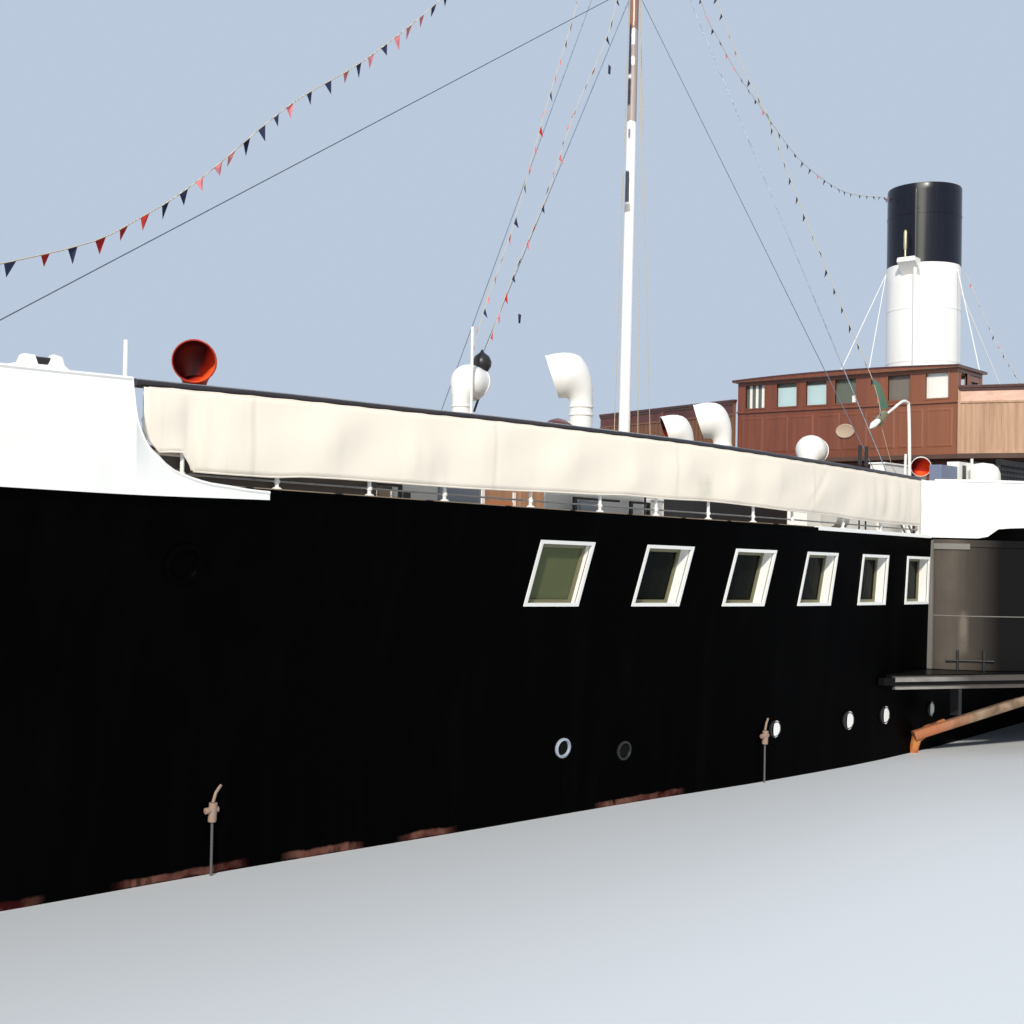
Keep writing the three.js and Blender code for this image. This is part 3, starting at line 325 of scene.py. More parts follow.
MAST_MIDDLE = (4.6, 0)
TAUPE_FROM, VARNISH_FROM = 5.74, 6.62
MAST_STREAKS = [  # full-size low and high z, then low and high across, and colour of streaks on the mast; the long dark one down its left side, from 11.75 to 13.3, is painted shade
    (12.9, 13.19, -0.012, 0.02, (0.8, 0.79, 0.77)), (12.51, 12.66, -0.012, 0.02, (0.8, 0.79, 0.77)),
    (13.25, 13.9, 0.0, 0.012, (0.62, 0.52, 0.46)), (11.75, 13.3, -0.06, -0.014, (0.035, 0.03, 0.05)),
    (9.9, 10.5, -0.06, -0.014, (0.05, 0.05, 0.055)), (9.72, 9.88, -0.06, 0.0, (0.3, 0.29, 0.27)),
    (11.1, 11.3, -0.03, -0.01, (0.2, 0.19, 0.18)), (12.26, 12.33, -0.06, -0.01, (0.8, 0.79, 0.77)),
]


def mast_paint():
    """White up to the crosstrees, then worn to taupe, then varnished, with pale and dark streaks; the long
    dark streak down its left side is painted shade.
    """
    white = (0.86, 0.85, 0.83)
    s = Shader("mast_paint", white, 0.45)
    grain = s.noise(30, 6, (1, 1, 0.05))
    varnish = s.ramp(grain, [(0.3, (0.16, 0.07, 0.045)), (0.7, (0.36, 0.19, 0.12))])
    taupe = s.ramp(grain, [(0.3, (0.25, 0.2, 0.18)), (0.7, (0.42, 0.35, 0.31))])
    ragged = s.plus(s.axis("Z"), s.times(s.noise(20, 4), 0.04))
    color = s.mix(s.math("GREATER_THAN", ragged, TAUPE_FROM), white, taupe)
    color = s.mix(s.math("GREATER_THAN", ragged, VARNISH_FROM), color, varnish)
    across = s.plus(s.across(ACROSS, MAST_MIDDLE), s.times(s.plus(s.noise(14, 3), -0.5), 0.01))
    # the long dark streak down the left side is painted shade
    for low, high, left, right, tone in MAST_STREAKS:
        here = s.times(s.between(ragged, low * MODEL + 0.02, high * MODEL + 0.02, 0.01),
                       s.between(across, left, right, 0.002))
        color = s.mix(here, color, tone)
    s.use("Base Color", color)
    s.bump(grain, 0.3, 0.002)
    return s.material


def metal(name, color, roughness):
    s = Shader(name, color, roughness, 1.0)
    stain = s.noise(25, 5)
    s.uneven_gloss(stain, 0.35, roughness - 0.15)
    s.use("Base Color", s.mix(s.grow(stain, 0.5, 0.75, last=0.6), color, tuple(c * 0.45 for c in color)))
    s.bump(stain, 0.2, 0.001)
    return s.material


FRESH_STRUT = (3.48, 3.75)  # x where the strut's orange paint starts, and where it covers


def rusty_timber():
    s = Shader("rusty_timber", (0.3, 0.13, 0.05), 0.85)
    rust = s.ramp(s.noise(7, 7), [
        (0.3, (0.05, 0.035, 0.025)), (0.48, (0.2, 0.13, 0.08)), (0.62, (0.28, 0.2, 0.14)),
        (0.75, (0.09, 0.07, 0.055))])
    bright_share = s.rise(s.axis("X"), *FRESH_STRUT)
    s.use("Base Color", s.mix(s.times(bright_share, 0.8), rust, (0.42, 0.13, 0.045)))
    s.bump(s.noise(30, 6), 0.7, 0.006)
    return s.material


def throat_red(name, mouth, radius):
    """A cowl's red throat, painted shade on one side and painted light on the other."""
    s = Shader(f"cowl_throat_{name}", (0.5, 0.05, 0.02), 0.4)
    # painted light and shade: bright red low on one side of the mouth, dark maroon high on the other
    down = s.times(s.plus(s.axis("Z"), -mouth[2]), -0.6)
    bright_share = s.math("DIVIDE", s.plus(s.across(ACROSS, mouth), down), radius)
    bright_share = s.plus(bright_share, s.times(s.noise(12, 4), 0.3))
    s.use("Base Color", s.ramp(bright_share, [
        (0.0, (0.07, 0.006, 0.01)), (0.25, (0.5, 0.03, 0.012)), (0.75, (0.95, 0.13, 0.03))]))
    return s.material


def pane(name, color):
    """Window glass coloured as what is right behind it: painted shade for a dark room, the curtain's colour
    for a curtained one.
    """
    s = Shader(name, color, 0.05)
    s.set("Specular IOR Level", 0.04)
    s.use("Base Color", s.mix(s.noise(2.5, 3), color, tuple(c * 1.7 for c in color)))
    s.bump(s.noise(1.5, 2), 0.08, 0.01)
    return s.material


def clear_glass():
    s = Shader("clear_glass", (0.75, 0.85, 0.85), 0.04)
    s.set("Alpha", 0.04)
    s.set("Specular IOR Level", 0.15)
    s.bump(s.noise(1.5, 2), 0.06, 0.01)
    return s.material


SPONSON_DECK_Z = 1.4
SPONSON_FADE = (3.24, 3.44)  # x where the pale brown on the house, dust and a painted sheen, is least and most
PALE_STREAK = {"x": (3.405, 3.43), "z": (0.86, 1.18)}  # a pale vertical streak on the house


def sponson_paint():
    """The black of the houses at the sides: glossy, with a pale vertical streak, and a little brown towards
    the front from dust and a painted sheen.
    """
    black = (0.006, 0.0055, 0.0055)
    s = Shader("sponson_black", black, 0.28)
    s.set("Specular IOR Level", 0.08)
    patches = s.noise(1.6, 5)
    # dust and painted sheen: a pale brown, strongest at the front of the house
    dust_and_sheen = s.times(s.grow(s.noise(4, 6, (1, 1, 0.06)), 0.42, 0.75), s.grow(patches, 0.35, 0.7, 0.2))
    fade = s.rise(s.axis("X"), *SPONSON_FADE, 0.02, 0.9)
    dust_and_sheen = s.times(s.plus(s.times(dust_and_sheen, 0.6), 0.42), fade, clamp=True)
    # a pale vertical streak
    pale_streak = s.times(s.between(s.axis("X"), *PALE_STREAK["x"], 0.012),
                      s.between(s.axis("Z"), *PALE_STREAK["z"], 0.05))
    pale_streak = s.times(pale_streak, s.grow(s.noise(9, 4, (1, 1, 0.3)), 0.35, 0.6, 0.2))
    dust_and_sheen = s.plus(dust_and_sheen, s.times(pale_streak, 0.9))
    above_deck = s.math("GREATER_THAN", s.axis("Z"), (SPONSON_DECK_Z + 0.01) * MODEL)
    dust_and_sheen = s.times(dust_and_sheen, above_deck, clamp=True)
    s.use("Base Color", s.mix(dust_and_sheen, black, (0.15, 0.125, 0.1)))
    s.uneven_gloss(patches, 0.3, 0.12)
    s.bump(s.noise(2.0, 3), 0.35, 0.012)
    s.bump(s.noise(40, 3), 0.12, 0.001)
    return s.material


DECK_TONES = ((0.2, 0.145, 0.095), (0.36, 0.28, 0.19))
PLANK = 0.07


def two_tone_deck():
    """Planks on top and brown paint underneath and on the edges."""
    s = Shader("bridge_planks", (0.3, 0.22, 0.15), 0.7)
    normal = s.node("ShaderNodeNewGeometry").outputs["Normal"]
    up = s.node("ShaderNodeSeparateXYZ", {"Vector": normal}).outputs["Z"]
    fibre = s.noise(18.0, 8, GRAIN["Y"], 0.7)
    planks = s.grow(fibre, 0.35, 0.75, *DECK_TONES)
    planks = s.mix(s.seams("X", PLANK), planks, SEAM_DARK)
    paint = s.mix(s.noise(3, 5), (0.05, 0.022, 0.018), (0.11, 0.06, 0.045))
    s.use("Base Color", s.mix(s.math("GREATER_THAN", up, 0.5), paint, planks))
    s.bump(fibre, 0.3, 0.0015)
    return s.material


def rust_paint():
    s = Shader("rusted_red", (0.28, 0.06, 0.025), 0.8)
    s.use("Base Color", s.ramp(s.noise(9, 7), [
        (0.34, (0.09, 0.03, 0.015)), (0.48, (0.4, 0.12, 0.03)), (0.6, (0.52, 0.2, 0.05)),
        (0.72, (0.16, 0.07, 0.035))]))
    s.bump(s.noise(35, 6), 0.6, 0.004)
    return s.material


def rope_fibre():
    s = Shader("rope", (0.55, 0.47, 0.34), 0.95)
    twist = s.wave(90.0, "DIAGONAL", 1.5)
    s.use("Base Color", s.mix(twist, (0.33, 0.27, 0.19), (0.66, 0.58, 0.44)))
    s.bump(twist, 0.5, 0.002)
    return s.material


def flag_cloth(name, color):
    s = Shader(name, color, 0.9)
    s.use("Base Color", s.mix(s.noise(30, 3), color, tuple(c * 0.72 for c in color)))
    s.bump(s.wave(220.0, "Z"), 0.2, 0.0008)
    return s.material


STRIP_FADE = (3.75, 4.15)  # x where the guard's strips turn from dark to scrubbed


def strip_wood():
    """The guard's strips, scrubbed pale at the fore end and dark from there on."""
    s = Shader("guard_strips", (0.2, 0.19, 0.18), 0.7)
    worn = s.grow(s.noise(3, 6, GRAIN["X"], 0.7), 0.35, 0.7, (0.16, 0.15, 0.14), (0.42, 0.4, 0.37))
    s.use("Base Color", s.mix(s.rise(s.axis("X"), *STRIP_FADE), (0.06, 0.05, 0.045), worn))
    s.bump(s.noise(18, 5, GRAIN["X"]), 0.3, 0.002)
    return s.material


HULL_BLACK = hull_paint()
CANVAS = canvas_cloth()
WHITE = painted("white_paint", (0.84, 0.83, 0.79), 0.42)
CREAM = painted("cream_paint", (0.46, 0.34, 0.25), 0.5)
BLACK = painted("black_paint", (0.012, 0.012, 0.013), 0.4, (0.08, 0.06, 0.05))
RED = painted("red_paint", (0.46, 0.035, 0.015), 0.45, (0.12, 0.02, 0.01))
# dark brown for a board of painted shade under the fore canvas
SHADE_BROWN = painted("painted_shade_brown", (0.07, 0.05, 0.035), 0.6)
DARK_RED = painted("dark_red_paint", (0.09, 0.014, 0.012), 0.4)
GREY = painted("grey_paint", (0.32, 0.36, 0.42), 0.5)
LOCKER_GREY = painted("locker_grey", (0.16, 0.2, 0.3), 0.5)
ORANGE = painted("orange_paint", (0.5, 0.17, 0.06), 0.5)
# a lighter tone for the port side of varnished wood: painted sunlight
PAINTED_SUNLIGHT = (0.33, 0.13, 0.06)
VARNISH = wood("red_varnish", (0.1, 0.021, 0.01), (0.21, 0.056, 0.024), "Z", painted_light=PAINTED_SUNLIGHT)
RAIL_WOOD = wood("rail_wood", (0.035, 0.01, 0.008), (0.09, 0.028, 0.02), "X", 0.3)
FORE_RAIL_WOOD = wood("fore_rail_wood", (0.008, 0.008, 0.014), (0.03, 0.02, 0.02), "X", 0.35, coat=0.1)
SCREEN_WOOD = wood("screen_wood", (0.1, 0.036, 0.018), (0.23, 0.1, 0.05), "Z", 0.5, coat=0.1)
DECK_WOOD = wood("deck_planks", *DECK_TONES, "X", 0.75, coat=0.0, boards=PLANK)
MAST = mast_paint()
FUNNEL = funnel_paint()
STEEL = metal("galvanised", (0.42, 0.42, 0.42), 0.45)
WIRE = metal("wire_rope", (0.2, 0.24, 0.3), 0.5)
BRASS = metal("brass", (0.55, 0.36, 0.12), 0.3)
PALE_BRASS = metal("worn_brass", (0.72, 0.66, 0.42), 0.45)
DARK_PANE = pane("dark_pane", (0.004, 0.005, 0.004))
GREEN_PANE = pane("curtained_pane", (0.075, 0.085, 0.042))
OLIVE = painted("sash_olive", (0.16, 0.15, 0.08), 0.5)
TURQUOISE = painted("pale_blind", (0.44, 0.6, 0.63), 0.6, dirty=0.1)
DEEP_GREEN = painted("dark_green_paint", (0.06, 0.07, 0.04), 0.6, dirty=0.1)
BLIND_GREY = painted("grey_blind", (0.12, 0.085, 0.06), 0.6, dirty=0.1)
DULL_PIPE = painted("dull_pipe", (0.09, 0.09, 0.09), 0.6, (0.04, 0.035, 0.03))
WORN_BRONZE = painted("worn_bronze", (0.3, 0.2, 0.15), 0.6, (0.12, 0.06, 0.04), 0.5)
FLANGE_GREY = painted("weathered_flange", (0.17, 0.16, 0.14), 0.6, (0.05, 0.04, 0.035), 0.6)
CLEAR = clear_glass()
TIMBER = rusty_timber()
SPONSON_BLACK = sponson_paint()
BRIDGE_PLANKS = two_tone_deck()
RED_RUST = rust_paint()
ROPE = rope_fibre()
FLAG_CLOTH = [flag_cloth("flag_red", (0.5, 0.02, 0.015)), flag_cloth("flag_navy", (0.015, 0.02, 0.07)),
              flag_cloth("flag_white", (0.8, 0.78, 0.74)), flag_cloth("flag_pink", (0.7, 0.22, 0.24)),
              flag_cloth("flag_green", (0.1, 0.2, 0.13))]
GUARD_WOOD = wood("guard_timber", (0.03, 0.024, 0.02), (0.1, 0.08, 0.065), "X", 0.7, coat=0.0)
STRIP_WOOD = strip_wood()
PANEL_WOOD = wood("panel_varnish", (0.105, 0.023, 0.011), (0.22, 0.062, 0.027), "Z", painted_light=PAINTED_SUNLIGHT)
TOP_BOARD_WOOD = wood("top_boards", (0.07, 0.018, 0.016), (0.12, 0.035, 0.028), "Y", 0.5, coat=0.1)
# lighter copies of the screen and top board woods for the port wing: painted sunlight
SUNLIT_SCREEN_WOOD = wood("sunlit_screen_wood", (0.31, 0.165, 0.095), (0.6, 0.385, 0.245), "Z", 0.5, coat=0.1)
SUNLIT_TOP_BOARD = wood("sunlit_top_boards", (0.54, 0.3, 0.21), (0.82, 0.56, 0.44), "Y", 0.5, coat=0.1)
COMPANION_WOOD = wood("companion_varnish", (0.3, 0.14, 0.07), (0.5, 0.27, 0.14), "Z", 0.5, coat=0.1)
HOUSE_WOOD = wood("house_boards", (0.1, 0.024, 0.012), (0.21, 0.06, 0.028), "Z", boards=0.06)
BENCH_WOOD = wood("bench_wood", (0.03, 0.028, 0.035), (0.09, 0.085, 0.1), "X", 0.5, coat=0.1)
GREY_CANVAS = painted("roof_canvas", (0.45, 0.44, 0.42), 0.8)
GOLD_PAINT = painted("moulding_paint", (0.62, 0.58, 0.5), 0.5)
WHEEL_RED = painted("wheel_red", (0.34, 0.03, 0.018), 0.55, (0.1, 0.03, 0.015), 0.7)


# Mesh helpers
def piece_from(name, verts, faces, material, body=SHIP, smooth=True, angle=35):
    """A piece with its finish and body. Edges sharper than angle stay crisp."""
    mesh = bpy.data.meshes.new(name)
    mesh.from_pydata([tuple(c * MODEL for c in v) for v in verts], [], faces)
    mesh.validate()
    for one in material if isinstance(material, list) else [material]:
        mesh.materials.append(one)
    piece = bpy.data.objects.new(name, mesh)
    bpy.context.collection.objects.link(piece)
    if smooth:
        mesh.shade_smooth()
        mesh.set_sharp_from_angle(angle=math.radians(angle))
    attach(piece, body)
    return piece


BOX_FACES = [(0, 2, 3, 1), (4, 5, 7, 6), (0, 1, 5, 4), (2, 6, 7, 3), (0, 4, 6, 2), (1, 3, 7, 5)]
QUAD = [(0, 1, 2, 3)]


def turned_in(faces):
    return [tuple(reversed(face)) for face in faces]


def circle(sides):
    """(cosine, sine) of equal steps round a full turn."""
    return [(math.cos(t), math.sin(t)) for t in (2 * math.pi * k / sides for k in range(sides))]


class Build:
    """Collects many small shapes, in full-size metres, that become one piece."""

    def __init__(self):
        self.verts, self.faces = [], []

    def add(self, verts, faces):
        start = len(self.verts)
        self.verts += [tuple(v) for v in verts]
        self.faces += [tuple(i + start for i in face) for face in faces]

    def box(self, x0, x1, y0, y1, z0, z1):
        self.add([(x, y, z) for z in (z0, z1) for y in sorted((y0, y1)) for x in (x0, x1)], BOX_FACES)

    def rings(self, rings, closed=True, caps=True):
        """A skin over rings of equal length; caps closes both ends with a flat face."""
        n = len(rings[0])
        faces = []
        for r in range(len(rings) - 1):
            for i in range(n if closed else n - 1):
                a, b = r * n + i, r * n + (i + 1) % n
                faces.append((a, b, b + n, a + n))
        if caps:
            faces.append(tuple(reversed(range(n))))
            last = (len(rings) - 1) * n
            faces.append(tuple(range(last, last + n)))
        self.add([v for ring in rings for v in ring], faces)

    def tube(self, path, radius, sides=8):
        """A round bar along a path of points; radius is one number or one for each point."""
        points = [Vector(p) for p in path]
        radii = radius if hasattr(radius, "__len__") else [radius] * len(points)
        rings = []
        across = None
        for i, point in enumerate(points):
            along = (points[min(i + 1, len(points) - 1)] - points[max(i - 1, 0)]).normalized()
            if across is None:
                side = Vector((0, 0, 1)) if abs(along.z) < 0.9 else Vector((0, 1, 0))
                across = along.cross(side).normalized()
            else:
                across = (across - along * across.dot(along)).normalized()
            other = along.cross(across)
            rings.append([point + (across * c + other * s) * radii[i] for c, s in circle(sides)])
        self.rings(rings)

    def post(self, x, y, z0, z1, radius, sides):
        """An upright round bar."""
        self.tube([(x, y, z0), (x, y, z1)], radius, sides)

    def lathe(self, origin, profile, sides=24, axis="Z"):
        """Turns a profile of (radius, height) pairs about an axis, Z or Y, through origin."""
        x, y, z = origin
        if axis == "Z":
            self.rings([[(x + r * c, y + r * s, z + h) for c, s in circle(sides)] for r, h in profile])
        else:
            self.rings([[(x + r * s, y + h, z + r * c) for c, s in circle(sides)] for r, h in profile])

    def bar(self, path, section):
        """Sweeps a flat section of (outward, up) pairs along points with their outward normals."""
        self.rings([[(x + nx * a, y + ny * a, z + b) for a, b in section] for (x, y, z), (nx, ny) in path])

    def piece(self, name, material, slot, body=SHIP, smooth=True, angle=35, bevel=0.0):
        made = piece_from(name, self.verts, self.faces, material, body, smooth, angle)
        if bevel:
            soften(made, bevel)
        return made


def soften(piece, width):
    """Rounds the piece's edges by width, given in full-size metres."""
    mod = piece.modifiers.new("bevel", "BEVEL")
    mod.width = width * MODEL
    mod.segments = 2
    mod.limit_method = "ANGLE"
    mod.angle_limit = math.radians(40)
    mod.harden_normals = False
    return piece


def flipped(points, side):
    return [(x, y * side, z) for x, y, z in points]


def smooth_line(points, steps):
    """Points along a Catmull-Rom curve through the given ones."""
    pts = [Vector(p) for p in points]
    pts = [pts[0] * 2 - pts[1], *pts, pts[-1] * 2 - pts[-2]]
    line = []
    for i in range(1, len(pts) - 2):
        a, b, c, d = pts[i - 1:i + 3]
        for k in range(steps):
            t = k / steps
            line.append(0.5 * ((2 * b) + (c - a) * t + (2 * a - 5 * b + 4 * c - d) * t * t
                               + (3 * b - a - 3 * c + d) * t ** 3))
    line.append(pts[-2])
    return line


class Curve:
    """A smooth curve through a table's points that never overshoots them."""

    def __init__(self, pairs):
        self.pairs = sorted(pairs)
        xs = [p[0] for p in self.pairs]
        ys = [p[1] for p in self.pairs]
        slope = [(ys[i + 1] - ys[i]) / (xs[i + 1] - xs[i]) for i in range(len(xs) - 1)]
        self.tangent = [slope[0]]
        for i in range(1, len(xs) - 1):
            same = slope[i - 1] * slope[i] > 0
            mean = 2 * slope[i - 1] * slope[i] / (slope[i - 1] + slope[i]) if same else 0
            self.tangent.append(mean)
        self.tangent.append(slope[-1])

    def __call__(self, x):
        p = self.pairs
        if x <= p[0][0]:
            return p[0][1]
        if x >= p[-1][0]:
            return p[-1][1]
        i = max(k for k in range(len(p) - 1) if p[k][0] <= x)
        h = p[i + 1][0] - p[i][0]
        t = (x - p[i][0]) / h
        return ((2 * t ** 3 - 3 * t * t + 1) * p[i][1] + (t ** 3 - 2 * t * t + t) * h
                * self.tangent[i] + (3 * t * t - 2 * t ** 3) * p[i + 1][1]
                + (t ** 3 - t * t) * h * self.tangent[i + 1])


# The hull's form, as in the model's source
HULL = [  # station x, keel z, half breadth of the floor, at the water and at the deck
    (31.05, -0.75, 0.02, 0.06, 0.2),
    (30.3, -1.3, 0.05, 0.42, 1.1),
    (28.5, -1.4, 0.1, 1.12, 2.1),
    (26.0, -1.4, 0.25, 1.92, 2.88),
    (23.4, -1.4, 0.6, 2.54, 3.47),
    (20.5, -1.4, 1.1, 2.95, 3.92),
    (17.6, -1.4, 1.8, 3.46, 4.26),
    (14.6, -1.4, 2.6, 3.95, 4.66),
    (11.6, -1.4, 3.2, 4.52, 5.02),
    (8.6, -1.4, 3.7, 4.9, 5.05),
    (5.5, -1.4, 4.0, 5.03, 5.05),
    (-11.0, -1.4, 4.0, 5.03, 5.05),
    (-16.0, -1.4, 3.3, 4.83, 5.05),
    (-21.0, -1.4, 1.9, 4.2, 4.85),
    (-25.0, -1.4, 0.6, 3.2, 4.35),
    (-27.5, -1.4, 0.12, 2.35, 3.75),
    (-27.6, -0.5, 0.1, 2.3, 3.72),
    (-29.6, -0.4, 0.1, 1.4, 2.85),
    (-30.7, -0.3, 0.05, 0.75, 1.9),
    (-31.25, -0.15, 0.02, 0.15, 0.75),
]
KEEL = [(row[0], row[1]) for row in HULL]
FLOOR = Curve([(row[0], row[2]) for row in HULL])
WATER = Curve([(row[0], row[3]) for row in HULL])
DECK = Curve([(row[0], row[4]) for row in HULL])
STEM = {"from": 27, "to": 31.05, "rake": 0.9, "forefoot": 0.5}
STERN = {"from": -27.6, "to": -31.25, "rake": -0.7, "forefoot": 0}


SHEER = {"amidships": 3.577, "slope": 0.01432, "fore": 0.00025, "aft": 0.0006}


def deck_z(x):
    return SHEER["amidships"] + SHEER["slope"] * x + SHEER["fore" if x > 0 else "aft"] * x * x


def keel_z(x):
    for (xa, za), (xb, zb) in zip(KEEL, KEEL[1:]):
        if xb <= x <= xa:
            return za + (xa - x) / (xa - xb) * (zb - za)
    return KEEL[0][1] if x > 0 else KEEL[-1][1]


def half_breadth(x, z):
    water = WATER(x)
    if z >= 0:
        return water + (DECK(x) - water) * (z / deck_z(x)) ** 2
    floor = FLOOR(x)
    down = min(1.0, z / keel_z(x))
    return floor + (water - floor) * (1 - down ** 3) ** (1 / 3)


def leaned(x, z):
    end = STEM if x > 0 else STERN
    share = min(1.0, max(0.0, (x - end["from"]) / (end["to"] - end["from"]))) ** 2
    return x + share * (end["rake"] * z / deck_z(x) if z >= 0 else -end["forefoot"] * z * z)


def outward(x, z=None):
    """The outward direction in plan at the deck's edge, or at a height of the side."""
    level = deck_z(x) if z is None else z
    slope = (half_breadth(x + 0.05, level) - half_breadth(x - 0.05, level)) / 0.1
    length = math.hypot(1, slope)
    return (-slope / length, 1 / length)


def skin(x, z, side=PORT, out=0.0):
    """A point on the hull's side, moved outward by out."""
    nx, ny = outward(x, z)
    return (leaned(x, z) + nx * out, side * (half_breadth(x, z) + ny * out), z)


def edge(x, inset=0.0, above=0.0, side=PORT):
    """A point at the deck's edge, moved inboard by inset and up by above."""
    nx, ny = outward(x)
    z = deck_z(x)
    return (leaned(x, z) - nx * inset, side * (DECK(x) - ny * inset), z + above)


def span(start, end, step):
    count = max(1, round(abs(end - start) / step))
    return [start + (end - start) * i / count for i in range(count + 1)]


# The hull, with its row of square windows cut through the plating on each side
WINDOW = {"wide": 0.9, "high": 0.80, "below_deck": 0.345, "reveal": 0.19, "frame": 0.034}
CURTAINED = 16.47
WINDOWS = [7.6, 9.25, 11.0, 12.77, 14.57, CURTAINED] + [-15.2 - 1.76 * k for k in range(5)]
ROWS_ABOVE = [0.0, 0.09, 0.2, WINDOW["below_deck"], WINDOW["below_deck"] + WINDOW["high"]]
SHARES = [0.82, 0.64, 0.46, 0.3, 0.16, 0.06, 0.0]
ROWS_BELOW = [0.12, 0.3, 0.5, 0.7, 0.85, 0.95, 1.0]


def hull_stations():
    marks = [row[0] for row in HULL]
    for middle in WINDOWS:
        marks += [middle - WINDOW["wide"] / 2, middle + WINDOW["wide"] / 2]
    marks = sorted(set(round(x, 4) for x in marks), reverse=True)
    stations = []
    for a, b in zip(marks, marks[1:]):
        stations += span(a, b, 0.7)[:-1]
    return stations + [marks[-1]]


def hull_rows(x):
    top = deck_z(x)
    heights = [top - drop for drop in ROWS_ABOVE]
    heights += [heights[-1] * share for share in SHARES]
    return heights + [keel_z(x) * share for share in ROWS_BELOW]


def in_window(x0, x1):
    middle = (x0 + x1) / 2
    return any(abs(middle - w) < WINDOW["wide"] / 2 for w in WINDOWS)


def make_hull():
    stations = hull_stations()
    build = Build()
    rows = len(hull_rows(0))
    verts = []
    for side in (PORT, STARBOARD):
        for x in stations:
            verts += [(leaned(x, z), side * half_breadth(x, z), z) for z in hull_rows(x)]
    faces = []
    block = len(stations) * rows
    window_row = ROWS_ABOVE.index(WINDOW["below_deck"])
    for s in range(2):
        for i in range(len(stations) - 1):
            hole = in_window(stations[i], stations[i + 1])
            for r in range(rows - 1):
                if hole and r == window_row:
                    continue
                a = s * block + i * rows + r
                face = (a, a + rows, a + rows + 1, a + 1)
                faces.append(face if s else tuple(reversed(face)))
    for i in range(len(stations) - 1):
        for r in (0, rows - 1):
            a, b = i * rows + r, block + i * rows + r
            face = (a, a + rows, b + rows, b)
            faces.append(face if r else tuple(reversed(face)))
    for i in (0, len(stations) - 1):
        for r in range(rows - 1):
            a, b = i * rows + r, block + i * rows + r
            face = (a, a + 1, b + 1, b)
            faces.append(face if not i else tuple(reversed(face)))
    build.add(verts, faces)
    hull = build.piece("hull_plating", HULL_BLACK, "hull_paint", angle=50)
    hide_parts("hull")


def window_ring(x, side, grow, out):
    """The four corners of a hull window, grown by grow and moved out or in along Y."""
    half = WINDOW["wide"] / 2 + grow
    corners = []
    for dx, up in ((-half, 1), (half, 1), (half, 0), (-half, 0)):
        at = x + dx
        top = deck_z(at) - WINDOW["below_deck"]
        z = top + grow if up else top - WINDOW["high"] - grow
        corners.append((at, side * (half_breadth(at, z) + out), z))
    return corners if side > 0 else list(reversed(corners))


def make_hull_windows():
    frames, jambs, sashes = Build(), Build(), Build()
    panes = {"dark": Build(), "green": Build()}
    depth, wide = WINDOW["reveal"], WINDOW["frame"]
    for side in SIDES:
        for x in WINDOWS:
            rim = [(0.01, -0.01), (0.01, 0.018), (-wide, 0.018), (-wide, -0.02)]
            frames.rings([window_ring(x, side, grow, out) for grow, out in rim], caps=False)
            jambs.rings([window_ring(x, side, -wide, -out) for out in (0.01, depth)], caps=False)
            tone = "green" if x == CURTAINED and side > 0 else "dark"
            back = depth * (0.55 if tone == "green" else 0.97)
            sash = [(-wide, 0.03 - back), (-wide - 0.04, 0.03 - back), (-wide - 0.04, -back)]
            sashes.rings([window_ring(x, side, grow, out) for grow, out in sash], caps=False)
            panes[tone].add(window_ring(x, side, -wide + 0.01, -back), [(3, 2, 1, 0)])
    frames.piece("hull_window_frames", WHITE, "white_paint", smooth=False)
    jambs.piece("hull_window_reveals", WHITE, "white_paint", smooth=False)
    sashes.piece("hull_window_sashes", OLIVE, "white_paint", smooth=False)
    panes["dark"].piece("hull_window_glass", DARK_PANE, "glass", smooth=False)
    panes["green"].piece("hull_window_curtained", GREEN_PANE, "glass", smooth=False)


PORTHOLES = [  # x, z, radius of the rim, and its paint; white ones have a white crescent on the after half, a painted highlight
    (15.87, 0.87, 0.13, "grey"), (14.75, 0.73, 0.13, "dark"), (11.66, 0.77, 0.13, "white"),
    (9.75, 0.74, 0.15, "white"), (8.62, 0.73, 0.15, "white"), (6.93, 0.69, 0.13, "white"),
    (-15.6, 0.9, 0.15, "white"), (-18.0, 0.95, 0.15, "white"), (-20.4, 1.05, 0.15, "white"),
    (-22.8, 1.2, 0.15, "white"),
]


def round_on_hull(build, x, z, side, profile, sides=24):
    """Turns a profile of (radius, out) pairs about the normal of the hull's side."""
    centre = Vector(skin(x, z, side))
    fore = (Vector(skin(x + 0.05, z, side)) - Vector(skin(x - 0.05, z, side))).normalized()
    rise = (Vector(skin(x, z + 0.05, side)) - Vector(skin(x, z - 0.05, side))).normalized()
    normal = fore.cross(rise).normalized()
    if normal.y * side < 0:
        normal = -normal
    rise = normal.cross(fore) * (1 if normal.cross(fore).z > 0 else -1)
    build.rings([[centre + normal * out + (fore * c * side + rise * s) * radius for c, s in circle(sides)]
                 for radius, out in profile], caps=False)


def crescent(build, x, z, radius, side, steps=12):
    """A white crescent over the after half of a white porthole's rim: a painted highlight."""
    points = []
    for k in range(steps + 1):
        t = math.pi * (k / steps - 0.5)
        for reach in (1.0, -0.6):
            points.append(skin(x - math.cos(t) * radius * 0.76 * reach,
                               z + math.sin(t) * radius * 0.98, side, 0.03))
    build.add(points, [(2 * k, 2 * k + 1, 2 * k + 3, 2 * k + 2) for k in range(steps)])


def make_portholes():
    finish = {"white": WHITE, "dark": BLACK, "grey": GREY}
    rims = {tone: Build() for tone in finish}
    glass = Build()
    for side in SIDES:
        for x, z, radius, tone in PORTHOLES:
            ring = rims[tone]
            # white ones: a dark rim under a white crescent of painted highlight
            if tone == "white":
                ring = rims["dark"]
                crescent(rims["white"], x, z, radius, side)
            round_on_hull(ring, x, z, side, [
                (radius, -0.02), (radius, 0.025), (radius * 0.8, 0.035), (radius * 0.74, 0.02),
                (radius * 0.72, -0.01)])
            round_on_hull(glass, x, z, side, [(radius * 0.75, 0.002), (0.0001, 0.006)])
    for tone, build in rims.items():
        build.piece(f"porthole_rims_{tone}", finish[tone], "wire")
    glass.piece("porthole_glass", DARK_PANE, "glass")


make_hull()
make_hull_windows()
make_portholes()


